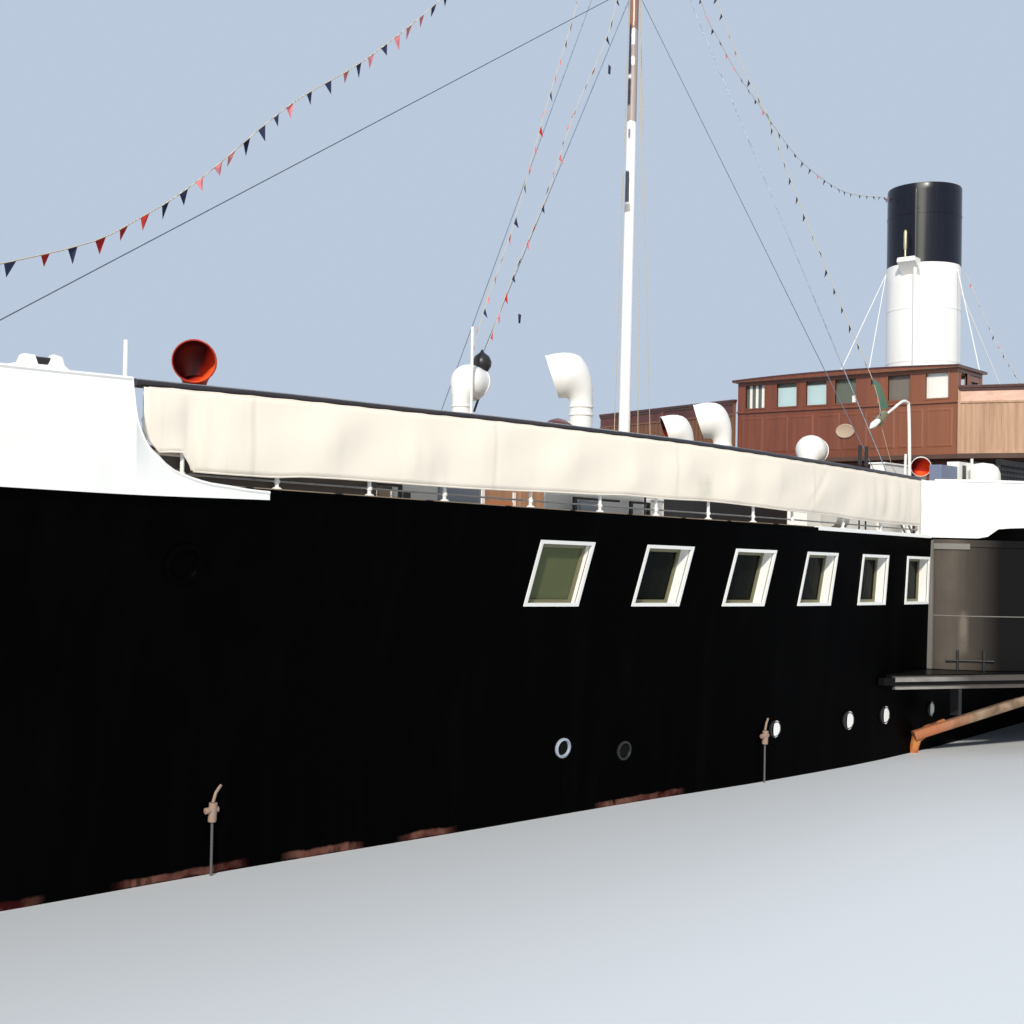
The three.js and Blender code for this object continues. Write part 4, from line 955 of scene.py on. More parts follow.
# The white forecastle bulwark, swept down to the deck at its after ends
SWEEP = Curve([  # station x and the bulwark's height above the deck's edge, from the photograph
    (20.84, 0.0), (21.07, 0.008), (21.27, 0.026), (21.48, 0.042), (21.68, 0.082), (21.78, 0.112),
    (21.87, 0.142), (21.96, 0.2), (22.03, 0.265), (22.11, 0.33), (22.17, 0.415), (22.21, 0.5),
    (22.246, 0.604), (22.265, 0.69), (22.279, 0.796), (22.294, 0.9), (22.3, 0.97),
    (22.8, 0.96), (23.4, 0.95), (26.0, 0.96), (28.5, 0.98), (31.2, 1.03),
])
SWEEP_STATIONS = [
    20.84, 20.95, 21.07, 21.17, 21.27, 21.37, 21.48, 21.58, 21.68, 21.78, 21.87, 21.96, 22.0, 22.03,
    22.07, 22.11, 22.14, 22.17, 22.21, 22.23, 22.246, 22.265, 22.279, 22.294, 22.3]
BOW_STATIONS = span(22.6, 30.2, 0.4) + span(30.4, 31.04, 0.1)
PAINT_LINE = Curve([(20.84, 0.072), (22.6, 0.105), (31.2, 0.105)])  # the white's depth below the deck's edge


def bulwark_path():
    """Points along the deck's edge from the port end round the stem to the starboard end."""
    port = [(edge(x, 0, 0), outward(x), x) for x in SWEEP_STATIONS + BOW_STATIONS]
    (sx, _, sz), _, _ = port[-1]
    nose = ((sx + 0.02, 0.0, sz), (1.0, 0.0), 31.05)
    starboard = [((x, -y, z), (nx, -ny), at) for (x, y, z), (nx, ny), at in reversed(port)]
    return [*port, nose, *starboard]


CAP_ROLL = [(-0.01 + 0.035 * c, 0.022 * s) for c, s in circle(8)]


def make_bulwark():
    plate, cap, stays = Build(), Build(), Build()
    rings, roll = [], []
    for (x, y, z), (nx, ny), at in bulwark_path():
        top = z + SWEEP(at)
        out, inner = 0.012, -0.03
        rings.append([(x + nx * a, y + ny * a, height) for a, height in (
            (out, z - PAINT_LINE(at)), (out, min(z, top - 0.03)), (out, top - 0.02), (out - 0.01, top),
            (inner, top - 0.004), (inner, min(z + 0.052, top - 0.03)))])
        roll.append([(x + nx * a, y + ny * a, top + b) for a, b in CAP_ROLL])
    plate.rings(rings)
    bulwark = plate.piece("forecastle_bulwark_plate", WHITE, "white_paint", angle=60)
    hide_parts("forecastle_bulwark")
    cap.rings(roll)
    cap.piece("forecastle_bulwark_cap", WHITE, "white_paint")
    for side in SIDES:
        for x in span(23.2, 29.6, 0.8):
            nx, ny = outward(x)
            foot = edge(x, 0.05, 0.05, side)
            head = edge(x, 0.05, 0.95, side)
            inner = edge(x, 0.38, 0.05, side)
            stays.rings([[(p[0] + dx, p[1], p[2]) for p in (foot, head, inner)]
                         for dx in (-0.012, 0.012)])
    stays.piece("forecastle_bulwark_stays", WHITE, "white_paint", smooth=False)


FAIRLEAD = [  # station x and height over the bulwark's top along the roller fairlead's base
    (22.82, 0.002), (22.9, 0.025), (22.94, 0.06), (22.96, 0.13), (23.04, 0.145), (23.08, 0.045),
    (23.17, 0.045), (23.2, 0.125), (23.3, 0.125), (23.33, 0.05), (23.42, 0.02), (23.5, 0.002),
]


def make_fairleads():
    """A roller fairlead with two horns on each side of the bulwark's top, and a post abaft it."""
    build, roller = Build(), Build()
    for side in SIDES:
        rings = []
        for x, above in FAIRLEAD:
            a, b = edge(x, -0.02, SWEEP(x), side), edge(x, 0.09, SWEEP(x), side)
            rings.append([(*a[:2], a[2] - 0.01), (*b[:2], b[2] - 0.01), (*b[:2], b[2] + above),
                          (*a[:2], a[2] + above)])
        build.rings(rings)
        roller.tube([edge(x, 0.03, SWEEP(x) + 0.08, side) for x in (23.05, 23.21)], 0.036, 14)
        build.tube([edge(22.35, 0.05, above, side) for above in (0.9, 1.33)], 0.022, 10)
    build.piece("bulwark_fairleads", WHITE, "white_paint", angle=35, bevel=0.006)
    roller.piece("fairlead_rollers", BLACK, "black_iron")


make_bulwark()
make_fairleads()

# Decks
HOUSE_PLAN = [  # the sponson houses' outer wall in plan
    (7.05, 4.9), (6.95, 5.3), (6.5, 6.0), (5.4, 7.0), (3.9, 7.8), (2.2, 8.2), (1.4, 8.2),
    (-7.4, 8.2), (-8.2, 8.2), (-9.9, 7.8), (-11.4, 7.0), (-12.5, 6.0), (-12.95, 5.3),
    (-13.05, 4.9),
]
HOUSE_LINE = smooth_line([(x, y, 0) for x, y in HOUSE_PLAN], 6)
AXLE = {"x": -3.0, "z": 1.75}
BULWARK_HIGH = 1.0


def house_y(x):
    for a, b in zip(HOUSE_LINE, HOUSE_LINE[1:]):
        if b.x <= x <= a.x and a.x > b.x:
            return a.y + (a.x - x) / (a.x - b.x) * (b.y - a.y)
    return 0.0


def make_deck():
    build = Build()
    stations = sorted({round(x, 3) for x in span(-31.0, 31.0, 0.5)}
                      | {round(p.x, 3) for p in HOUSE_LINE if 4.99 < p.y < 7.7}, reverse=True)
    rings = []
    for x in stations:
        y = max(DECK(x), house_y(x)) - 0.07
        z = deck_z(x)
        at = leaned(x, z)
        rings.append([(at, -y, z + 0.004), (at, y, z + 0.004), (at, y, z + 0.05), (at, -y, z + 0.05)])
    build.rings(rings)
    deck = build.piece("promenade_planking", DECK_WOOD, "deck_planks", angle=20)
    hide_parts("promenade_deck")
    margin, sill = Build(), Build()
    for side in SIDES:
        for build, start, end, top in ((margin, 21.5, 11.3, 0.0), (sill, 11.3, 7.1, 0.018),
                                       (margin, -13.1, -30.9, 0.018)):
            path = [(edge(x, 0.05, 0.035, side), tuple(c * s for c, s in zip(outward(x), (1, side))))
                    for x in span(start, end, 0.5)]
            build.bar(path, [(-0.02, -0.04), (0.055, -0.04), (0.055, top), (-0.02, top)])
    margin.piece("deck_edge_angle", HULL_BLACK, "hull_paint")
    sill.piece("deck_edge_sill", WHITE, "white_paint")


make_deck()


# Sponsons: smooth plating round the houses' ends, guards, seams and fittings
def house_normals(line):
    path = []
    for i, point in enumerate(line):
        before, after = line[max(0, i - 1)], line[min(len(line) - 1, i + 1)]
        along = (after - before).normalized()
        path.append((point, Vector((along.y, -along.x, 0))))
    return path


def house_wall(build, low, high, out, thick, keep, side):
    """A wall along the sponson house's plan. low and high give its edges at a station x."""
    rings = []
    for point, normal in house_normals(HOUSE_LINE):
        if not keep(point):
            continue
        n = -normal if normal.y < 0 else normal
        a, b = point + n * out, point + n * (out - thick)
        z0, z1 = low(point.x), high(point.x)
        rings.append([(a.x, a.y * side, z0), (a.x, a.y * side, z1),
                      (b.x, b.y * side, z1), (b.x, b.y * side, z0)])
    build.rings(rings)


def both_ends(build, low, high, out, thick, side, forward=1.3, aft=-7.3):
    house_wall(build, low, high, out, thick, lambda p: p.x > forward and p.y > 4.95, side)
    house_wall(build, low, high, out, thick, lambda p: p.x < aft and p.y > 4.95, side)


STRAKE_TOP = Curve([(-13.0, 0.215), (6.1, 0.215), (6.5, 0.18), (6.57, 0.08), (6.7, 0.012), (7.1, 0.005)])


def strake_top(x):
    """The upper edge of the black paint on the sponson's bulwark, run down at its fore end."""
    return deck_z(x) + STRAKE_TOP(x)


GUARD_PLAN = [(8.68, 5.115), (3.47, 8.65), (-9.47, 8.65), (-14.68, 5.115)]


def make_sponsons():
    plating, seams, guards, strips, bulwark, cap, strake, light = (Build() for _ in range(8))
    for side in SIDES:
        both_ends(plating, lambda x: 1.401, lambda x: deck_z(x) - 0.002, 0.004, 0.012, side)
        both_ends(light, lambda x: 2.335, lambda x: 2.35, 0.012, 0.01, side)
        both_ends(light, lambda x: 3.5, lambda x: 3.6, 0.034, 0.01, side, 6.72, -12.72)
        both_ends(seams, lambda x: 1.41, lambda x: 1.52, 0.03, 0.03, side)
        both_ends(seams, lambda x: deck_z(x) - 0.14, lambda x: deck_z(x) - 0.02, 0.03, 0.03, side)
        for x, y in ((7.07, 4.98), (-13.07, 4.98)):
            light.box(x - 0.03, x + 0.03, side * y, side * (y + 0.1), 1.41, deck_z(x) - 0.04)
        house_wall(bulwark, lambda x: deck_z(x) + 0.01, lambda x: deck_z(x) + BULWARK_HIGH,
                   0.008, 0.05, lambda p: p.y > 5.06, side)
        house_wall(strake, lambda x: deck_z(x) - 0.03, strake_top, 0.022, 0.03, lambda p: p.y > 5.06, side)
        z = deck_z(7.1)
        slip = [(0, 0.01), (0, BULWARK_HIGH), (0.04, BULWARK_HIGH), (0.04, 0.01)]
        bulwark.rings([[(x - inward, side * (y - inward), z + above) for inward, above in slip]
                       for x, y in ((7.27, 4.93), (6.975, 5.2))])
        house_wall(cap, lambda x: deck_z(x) + BULWARK_HIGH - 0.01,
                   lambda x: deck_z(x) + BULWARK_HIGH + 0.03, 0.03, 0.1, lambda p: p.y > 5.06, side)
        for a, b in zip(GUARD_PLAN, GUARD_PLAN[1:]):
            run = (Vector((*b, 0)) - Vector((*a, 0))).normalized()
            out = Vector((-run.y, run.x, 0))
            out = out if out.y > 0 else -out
            for build, low, high, proud in ((guards, 1.17, 1.385, -0.01), (strips, 1.3, 1.37, 0.012),
                                            (strips, 1.175, 1.215, 0.012)):
                guard_part = [(proud - 0.1, low), (proud, low), (proud, high), (proud - 0.1, high)]
                build.rings([[(x + out.x * c, side * (y + out.y * c), z) for c, z in guard_part]
                             for x, y in (a, b)])
    plating.piece("sponson_plating", SPONSON_BLACK, "hull_paint", angle=50)
    seams.piece("sponson_seams", SPONSON_BLACK, "hull_paint", angle=50)
    guards.piece("sponson_guards", GUARD_WOOD, "hull_paint", bevel=0.01)
    strips.piece("sponson_guard_strips", STRIP_WOOD, "hull_paint", smooth=False)
    light.piece("sponson_flanges", FLANGE_GREY, "hull_paint", angle=50)
    walls = bulwark.piece("sponson_bulwark_plates", WHITE, "white_paint", angle=50)
    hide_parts("sponson_bulwark_port", "sponson_bulwark_starboard")
    cap.piece("sponson_bulwark_caps", WHITE, "white_paint", angle=50)
    strake.piece("sponson_black_strakes", HULL_BLACK, "hull_paint", angle=50)


def fan_point(radius, share, y):
    """A point of the fan, at a share of its half turn."""
    turn = math.pi * share
    return (AXLE["x"] + radius * math.cos(turn), y, AXLE["z"] + 0.05 + radius * math.sin(turn))


def make_fan_mouldings():
    """Half-round mouldings round the fan of slots in each paddle box."""
    build = Build()
    for side in SIDES:
        for radius in (0.78, 1.8):
            path = [fan_point(radius, k / 48, side * 8.215) for k in range(49)]
            build.tube([p for p in path if p[2] < deck_z(p[0]) - 0.08], 0.035, 8)
        for k in range(10):
            build.tube([fan_point(radius, k / 9, side * 8.21) for radius in (0.82, 1.76)], 0.018, 6)
        build.box(AXLE["x"] - 1.95, AXLE["x"] + 1.95, side * 8.2, side * 8.24, 1.66, 1.73)
    build.piece("paddle_box_mouldings", GOLD_PAINT, "white_paint")


STRUT = {"ends": ((7.68, 5.02, 0.3), (5.65, 7.04, 1.2)), "half_wide": 0.08, "half_high": 0.075, "top": 1.18,
         "section": [(-1, -0.8), (-0.8, -1), (0.8, -1), (1, -0.8), (1, 0.8), (0.8, 1), (-0.8, 1), (-1, 0.8)]}


def make_sponson_fittings():
    build, strut, foot = Build(), Build(), Build()
    for side in SIDES:
        for x, y in ((6.91, 5.47), (6.68, 5.84)):
            build.post(x, side * y, 1.38, 1.75, 0.022, 8)
        build.tube([(7.02, side * 5.3, 1.57), (6.58, side * 5.98, 1.57)], 0.017, 8)
        build.box(6.79, 6.93, side * 5.35, side * 5.5, 0.62, 1.2)
        a, b = (Vector(point) for point in STRUT["ends"])
        along = (b - a).normalized()
        out = Vector((-along.y, along.x, 0)).normalized()
        up = along.cross(out)
        up = up if up.z > 0 else -up
        rings = [[a.lerp(b, i / 8) + out * (STRUT["half_wide"] * c) + up * (STRUT["half_high"] * h)
                  for c, h in STRUT["section"]] for i in range(9)]
        strut.rings([[(p.x, p.y * side, min(p.z, STRUT["top"])) for p in ring] for ring in rings])
        foot.tube([(7.58, side * 4.96, -0.08), (7.6, side * 4.99, 0.1), (7.58, side * 5.03, 0.25),
                   (7.42, side * 5.15, 0.38), (7.2, side * 5.38, 0.5)], [0.08, 0.085, 0.09, 0.09, 0.085], 10)
    build.piece("sponson_fittings", BLACK, "black_iron")
    beam = strut.piece("sponson_struts", TIMBER, "plain_timber", angle=50)
    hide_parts("sponson_strut_port", "sponson_strut_starboard")
    foot.piece("sponson_strut_feet", RED_RUST, "red_paint")


make_sponsons()
make_fan_mouldings()
make_sponson_fittings()


# Rails along the fore deck, with canvas dodgers laced outside them
RAIL = {"inset": 0.16, "high": 1.05, "ends": (22.21, 7.3)}
RAIL_LINE = Curve([  # station x and the fore rail's height above the deck
    (7.3, 1.01), (8.6, 1.02), (10.1, 1.03), (11.6, 1.03), (13.1, 1.05), (14.6, 1.07), (16.1, 1.065),
    (17.6, 1.055), (19.05, 1.025), (20.5, 1.0), (21.3, 0.98), (22.12, 0.955)])
RAIL_POSTS = [22.1, 21.71, 20.66, 19.5, 18.44, 17.1, 15.91, 14.85, 13.79, 12.81, 11.81, 10.19,
              8.83, 7.34]
DODGER_FOOT = Curve([
    (7.35, 0.2), (8.6, 0.2), (10.1, 0.22), (10.75, 0.245), (12.0, 0.254), (12.85, 0.278), (13.9, 0.3),
    (14.75, 0.285), (15.5, 0.29), (16.0, 0.27), (16.8, 0.254), (17.6, 0.231), (18.5, 0.214),
    (19.8, 0.208), (20.4, 0.195), (20.77, 0.166), (21.6, 0.16), (21.66, 0.172), (21.72, 0.33),
    (21.76, 0.342), (21.98, 0.322), (22.04, 0.37), (22.09, 0.43), (22.15, 0.52)])
DODGER_ENDS = (22.15, 7.35)
LACES = [22.0 - 0.21 * k for k in range(70)]


def rail_path(x0, x1, step, inset, above, side):
    path = []
    for x in span(x0, x1, step):
        nx, ny = outward(x)
        path.append((edge(x, inset, above, side), (nx, ny * side)))
    return path


OVAL = [(0.058 * c, 0.044 * s) for c, s in circle(12)]


def make_fore_rails():
    wood_rail, posts, rods = Build(), Build(), Build()
    for side in SIDES:
        path = [((px, py, pz + RAIL_LINE(x)), normal) for x, ((px, py, pz), normal) in zip(
            span(*RAIL["ends"], 0.4), rail_path(*RAIL["ends"], 0.4, RAIL["inset"], 0.0, side))]
        wood_rail.bar(path, OVAL)
        for above, r in ((0.13, 0.012), (0.62, 0.009)):
            path = [p for p, _ in rail_path(22.1, 7.3, 0.6, RAIL["inset"], above, side)]
            rods.tube(path, r, 6)
        for x in RAIL_POSTS:
            p = edge(x, RAIL["inset"], 0.045, side)
            top = (p[0], p[1], p[2] + RAIL_LINE(x) - 0.06)
            posts.tube([p, top], 0.021, 10)
            posts.lathe(p, [(0.055, 0), (0.055, 0.012), (0.026, 0.03)], 12)
            for above in (0.085, 0.575):
                posts.lathe((p[0], p[1], p[2] + above - 0.03), [
                    (0.005, 0), (0.03, 0.012), (0.034, 0.03), (0.03, 0.048), (0.005, 0.06)], 10)
    top = wood_rail.piece("fore_top_rails", FORE_RAIL_WOOD, "varnished_wood")
    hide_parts("fore_rail_port", "fore_rail_starboard")
    posts.piece("fore_rail_posts", WHITE, "white_paint")
    rods.piece("fore_rail_rods", STEEL, "wire")


def canvas_point(x, share, side):
    """A point of a dodger: it bellies between the posts and creases under the laced rail."""
    foot, top = DODGER_FOOT(x), RAIL_LINE(x) - 0.03
    gaps = sorted(abs(x - post) for post in RAIL_POSTS)
    belly = min(1.0, gaps[0] / 0.5) ** 1.5
    hang = math.sin(math.pi * min(1.0, max(0.0, share)))
    out = 0.018 + 0.035 * belly * hang
    pleated = min(1.0, max(0.0, (9.5 - x) / 0.5))
    out += 0.03 * pleated * hang * abs(math.sin(math.pi * x / 0.46))
    for middle, slope, deep in ((11.55, 0.75, 0.02), (21.66, 0.0, 0.03)):
        crease = x - middle + slope * share
        out -= deep * math.exp(-(crease / 0.06) ** 2) * hang
    out += 0.006 * math.sin(x * 9.1 + share * 2.0) * (1 - share) * hang
    out += 0.008 * math.sin(x * 3.3 + share * 5.0 + side) * hang
    scallop = 0.008 * abs(math.sin(math.pi * x / 0.42)) * (1 if share > 0.98 else 0)
    return edge(x, RAIL["inset"] - 0.055 - out, foot + (top - foot) * share - scallop, side)


def make_dodgers():
    columns, rows = 240, 14
    for side, name in SIDES.items():
        fore, aft = DODGER_ENDS
        xs = [fore - (fore - aft) * i / columns for i in range(columns + 1)]
        verts = [canvas_point(x, j / rows, side) for x in xs for j in range(rows + 1)]
        faces = [(a, a + 1, a + rows + 2, a + rows + 1)
                 for a in (i * (rows + 1) + j for i in range(columns) for j in range(rows))]
        if side < 0:
            faces = turned_in(faces)
        cloth = piece_from(f"canvas_dodger_{name}", verts, faces, CANVAS)
        thick = cloth.modifiers.new("cloth", "SOLIDIFY")
        thick.thickness = 0.003
        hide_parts(f"dodger_{name}")
        hem, lacing = make_dodger_trim(name, side)


def make_dodger_trim(name, side):
    hem, lacing = Build(), Build()
    for share, radius in ((0.0, 0.011), (1.0, 0.009)):
        hem.tube([canvas_point(x, share, side) for x in span(22.1, 7.36, 0.12)], radius, 6)
    for x in LACES:
        a = canvas_point(x, 0.985, side)
        top = edge(x - 0.03, RAIL["inset"] - 0.045, RAIL_LINE(x) - 0.05, side)
        under = edge(x - 0.05, RAIL["inset"], RAIL_LINE(x) - 0.052, side)
        lacing.tube([a, top, under], 0.006, 5)
    return (hem.piece(f"dodger_hems_{name}", CANVAS, "canvas"),
            lacing.piece(f"dodger_lacing_{name}", ROPE, "canvas"))


make_fore_rails()
make_dodgers()


# Ventilators: pipes bent into wide cowls
VENTS = [  # name, x, y, mouth's height, pipe radius, the way it looks in degrees, paint
    ("forecastle", 20.6, 2.27, 5.41, 0.12, 52, "red"), ("fore", 13.8, 0, 6.05, 0.148, 188, "white"),
    ("tall", 10.62, 0, 6.47, 0.206, -54, "white"), ("middle", 7.15, 0, 5.73, 0.162, -50, "white"),
    ("after", 5.75, 0, 6.05, 0.19, -62, "white"), ("bridge", 1.97, 0, 5.68, 0.178, 190, "white"),
    ("port", 1.37, 2.445, 5.27, 0.112, 23, "white"),
]
COWL = [  # rings of the bend, in pipe radii: forward, up, radius and tilt in degrees
    (0, -2.6, 1.0, 0), (0, -1.95, 1.03, 14), (0.06, -1.375, 1.19, 29), (0.235, -0.8, 1.46, 46),
    (0.535, -0.31, 1.75, 59.6), (0.965, 0.04, 1.96, 71.7), (1.65, 0.145, 1.975, 88.5),
    (2.49, 0.025, 1.925, 108.5),
]
COWL_LIP = [(2.5, 0.02, 1.98, 108.5), (2.58, -0.005, 1.98, 108.5), (2.58, -0.005, 1.87, 108.5)]
COWL_DEPTH = (0.06, -1.375, 1.15, 29)  # where the throat ends in the dark
COWL_COLLARS = (-3.2, -2.5)  # heights of the pipe's collars, in pipe radii
COLLAR = [(0.2, 1.0), (0.17, 1.09), (0.0, 1.09), (-0.03, 1.0)]  # down and radius, in pipe radii


def cowl_ring(vent, forward, up, radius, tilt, inset=0.0, sides=32):
    _, x, y, z, r, turn, _ = vent
    lean, face = math.radians(tilt), math.radians(turn)
    ring = []
    for c, s in circle(sides):
        a, py = c * (radius * r - inset), s * (radius * r - inset)
        px, pz = forward * r + a * math.cos(lean), up * r - a * math.sin(lean)
        ring.append((x + px * math.cos(face) - py * math.sin(face),
                     y + px * math.sin(face) + py * math.cos(face), z + pz))
    return ring


def cowl_rows():
    rows = smooth_line([(*row[:3],) for row in COWL], 3)
    tilts = smooth_line([(row[3], 0, 0) for row in COWL], 3)
    return [(p[0], p[1], p[2], t[0]) for p, t in zip(rows, tilts)]


def make_vents():
    for vent in VENTS:
        name, x, y, z, r, turn, paint = vent
        shell, throat = Build(), Build()
        foot = deck_z(x) + 0.04
        rows = cowl_rows()
        shell.rings([cowl_ring(vent, 0, (foot - z) / r, 1.0, 0)]
                    + [cowl_ring(vent, *row) for row in rows]
                    + [cowl_ring(vent, *lip) for lip in COWL_LIP], caps=False)
        throat.rings([cowl_ring(vent, *row, inset=0.012) for row in rows[6:]]
                     + [cowl_ring(vent, *COWL_LIP[-1])], caps=False)
        forward, up, radius, tilt = COWL_DEPTH
        throat.rings([cowl_ring(vent, forward, up, radius, tilt), cowl_ring(vent, forward, up, 0.01, tilt)],
                     caps=False)
        for up in COWL_COLLARS:
            if up * r + z > foot + 0.3:
                shell.rings([cowl_ring(vent, 0, up - down, wide, 0) for down, wide in COLLAR], caps=False)
        shell.lathe((x, y, foot - 0.02), [(r * 1.5, 0), (r * 1.5, 0.03), (r * 1.05, 0.1)], 32)
        outside = RED if paint == "red" else WHITE
        slot = "red_paint" if paint == "red" else "white_paint"
        made = shell.piece(f"cowl_{name}", outside, slot)
        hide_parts(f"vent_{name}")
        reach = r * COWL_LIP[0][0]
        mouth = ((x + reach * math.cos(math.radians(turn))) * MODEL,
                 (y + reach * math.sin(math.radians(turn))) * MODEL, z * MODEL)
        throat.piece(f"cowl_throat_{name}", throat_red(name, mouth, r * 2 * MODEL), "red_paint")


make_vents()


# The mast with its bands, and the standing rigging
POLE = {"x": 9.3, "rake": 0.235, "deck": 3.7, "head": 20.5, "step": 3, "thick": 0.115, "thin": 0.06}


def mast_x(z):
    return POLE["x"] - POLE["rake"] * (z - POLE["deck"]) / (POLE["head"] - POLE["deck"])


def mast_r(z):
    share = (z - POLE["step"]) / (POLE["head"] - POLE["step"])
    return POLE["thick"] + share * (POLE["thin"] - POLE["thick"])


MAST_BANDS = [(4.6, 0.08), (14.0, 0.1), (16.15, 0.1), (17.9, 0.08)]  # z and how high each is


def make_mast():
    build, bands = Build(), Build()
    heights = span(deck_z(POLE["x"]), 20.45, 0.5)
    build.rings([[(mast_x(z) + mast_r(z) * c, mast_r(z) * s, z) for c, s in circle(28)] for z in heights])
    for z, high in MAST_BANDS:
        r = mast_r(z)
        bands.lathe((mast_x(z), 0, z), [(r, 0), (r + 0.02, 0.01), (r + 0.02, high - 0.01), (r, high)], 28)
    bands.lathe((mast_x(3.6), 0, deck_z(POLE["x"]) + 0.04), [
        (0.26, 0), (0.26, 0.05), (0.18, 0.12), (0.12, 0.22)], 28)
    for side in SIDES:
        bands.tube([(mast_x(4.8), side * 0.15, 4.75), (mast_x(4.8), side * 0.2, 4.75)], 0.02, 8)
        bands.tube([(mast_x(4.8), side * 0.2, 4.62), (mast_x(4.8), side * 0.2, 4.9)], 0.018, 8)
    pole = build.piece("mast_pole", MAST, "plain_timber")
    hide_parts("mast")
    bands.lathe((mast_x(20.45), 0, 20.41), [(0.11, 0), (0.11, 0.06), (0.03, 0.085)], 20)
    bands.piece("mast_bands", STEEL, "wire")


STAYS = [  # the height on the mast and the foot of each wire
    (14.05, (24.5, 0.0, 4.13)), (14.05, (7.5, 4.75, 3.76)), (14.05, (10.0, -4.8, 3.81)),
    (16.2, (7.2, 4.75, 3.75)), (16.2, (10.35, -4.8, 3.82)),
]
HALYARDS = [  # the height on the mast and the foot of each taut line
    (17.0, (9.25, 0.3, 4.75)), (17.0, (9.2, -0.3, 4.75)), (14.2, (8.8, 0.3, 4.75)),
]


def make_rigging():
    wires, screws, ropes = Build(), Build(), Build()
    for high, end in STAYS:
        head, foot = Vector((mast_x(high), 0, high)), Vector(end)
        up = (head - foot).normalized()
        start = foot + up * 0.6
        wires.tube([head, start], 0.008, 6)
        screws.tube([start + up * 0.08, start, foot + up * 0.3, foot], [0.008, 0.022, 0.022, 0.015], 8)
    for high, foot in HALYARDS:
        head = (mast_x(high), math.copysign(mast_r(high) + 0.02, foot[1]), high)
        ropes.tube([head, foot], 0.007, 5)
    made = wires.piece("standing_rigging", WIRE, "wire")
    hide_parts("rigging", "rigging_upper")
    screws.piece("rigging_screws", STEEL, "wire")
    ropes.piece("halyards", ROPE, "canvas")


make_mast()
make_rigging()


# Dressing lines: strings of small pennants from the masthead
FLAG_LINES = [  # size of the pennants, their colours, and points x, y, z from the masthead down
    (1.0, (0, 0, 1, 1, 1, 3, 3), (
        (9.1, 0, 20.3), (11.2, 0, 16.6), (12.9, 0, 13.7), (14.47, 0, 12.03), (16.05, 0, 10.62),
        (17.46, 0, 9.57), (18.86, 0, 8.27), (19.76, 0, 7.56), (20.92, 0, 6.9), (24.0, 0, 5.9),
        (27.5, 0, 5.5), (30.4, 0, 5.4))),
    (0.85, (0, 1, 1, 3, 3), (
        (9.1, 0, 20.0), (9.6, 0, 16.8), (10.91, 0, 13.2), (11.79, 0, 10.99), (12.55, 0, 8.93),
        (13.22, 0, 7.47), (13.55, 0, 6.6))),
    (0.85, (0, 1, 1, 3, 3), (
        (9.1, 0, 19.6), (9.2, 0, 16.0), (9.87, 0, 13.17), (10.94, 0, 11.21), (11.75, 0, 9.43),
        (12.52, 0, 8.08), (13.2, 0, 6.7))),
    (0.6, (1, 1, 1, 1, 3, 4), (
        (9.05, 0, 20.2), (8.2, 0, 16.9), (6.84, 0, 14.54), (6.07, 0, 13.92), (5.37, 0, 13.47),
        (4.12, 0, 12.9), (2.66, 0, 12.31), (1.2, 0, 12.07), (-0.07, 0, 12.06), (-2.07, 0, 12.39),
        (-4.0, -0.86, 12.9))),
    (0.65, (1, 1, 1, 3, 4), (
        (9.05, 0, 19.0), (8.7, 0.7, 15.8), (8.34, 1.42, 13.41), (8.15, 1.79, 12.34), (7.95, 2.16, 11.5),
        (7.74, 2.56, 10.27), (7.55, 2.92, 9.22), (7.29, 3.41, 7.86), (7.0, 3.85, 6.62),
        (6.75, 3.92, 6.0), (6.9, 3.9, 5.75))),
    (0.6, (1, 1, 1, 3), (
        (-4.52, 1.14, 10.73), (-4.33, 1.54, 9.92), (-4.09, 2.08, 8.85), (-3.81, 2.68, 7.89),
        (-3.68, 2.96, 7.46))),
]
LOOSE_FLAGS = [  # colour and corners of single cloths tied in the lines
    (4, ((7.02, 3.88, 6.58), (6.8, 3.93, 6.5), (6.45, 3.95, 6.08), (6.72, 3.9, 6.02))),
    (1, ((12.42, 0, 7.36), (12.34, 0, 7.35), (12.36, 0, 7.2), (12.41, 0, 7.2))),
    (1, ((9.96, 0, 12.32), (9.88, 0, 12.3), (9.9, 0, 12.14), (9.97, 0, 12.15))),
]
FLAG = {"every": 0.3, "wide": 0.15, "drop": 0.19}


def pennant(at, along, size):
    """Corners of a pennant that hangs in its line, and the bent middle of its cloth."""
    half = size * FLAG["wide"] / 2 * random.uniform(0.8, 1.2)
    sway = Vector((random.uniform(-0.25, 0.25), random.uniform(-0.5, 0.5), -1)).normalized()
    drop = size * FLAG["drop"] * random.uniform(0.8, 1.15)
    corners = [at - along * half, at + along * half, at + sway * drop]
    bend = along.cross(sway).normalized() * 0.03 * random.uniform(-1, 1)
    return corners, sum(corners, Vector()) / 3 + bend


def make_flags():
    line, flags = Build(), Build()
    cloths, paints = [], []
    for size, tones, points in FLAG_LINES:
        path = smooth_line(points, 12)
        line.tube(path[::3], 0.007, 4)
        gone = 0.0
        for a, b in zip(path, path[1:]):
            gone += (b - a).length
            if gone < FLAG["every"]:
                continue
            gone = 0.0
            corners, middle = pennant(b, (b - a).normalized(), size)
            cloths.append((corners, middle, random.choice(tones)))
    for tone, points in LOOSE_FLAGS:
        corners = [Vector(point) for point in points]
        cloths.append((corners, sum(corners, Vector()) / 4 + Vector((0.015, 0.02, 0)), tone))
    for corners, middle, tone in cloths:
        count = len(corners)
        flags.add([*corners, middle], [(k, (k + 1) % count, count) for k in range(count)])
        paints += [tone] * count
    mesh_piece = flags.piece("pennants", FLAG_CLOTH, "canvas", smooth=False)
    for polygon, tone in zip(mesh_piece.data.polygons, paints):
        polygon.material_index = tone
    cord = line.piece("pennant_lines", ROPE, "canvas")


make_flags()


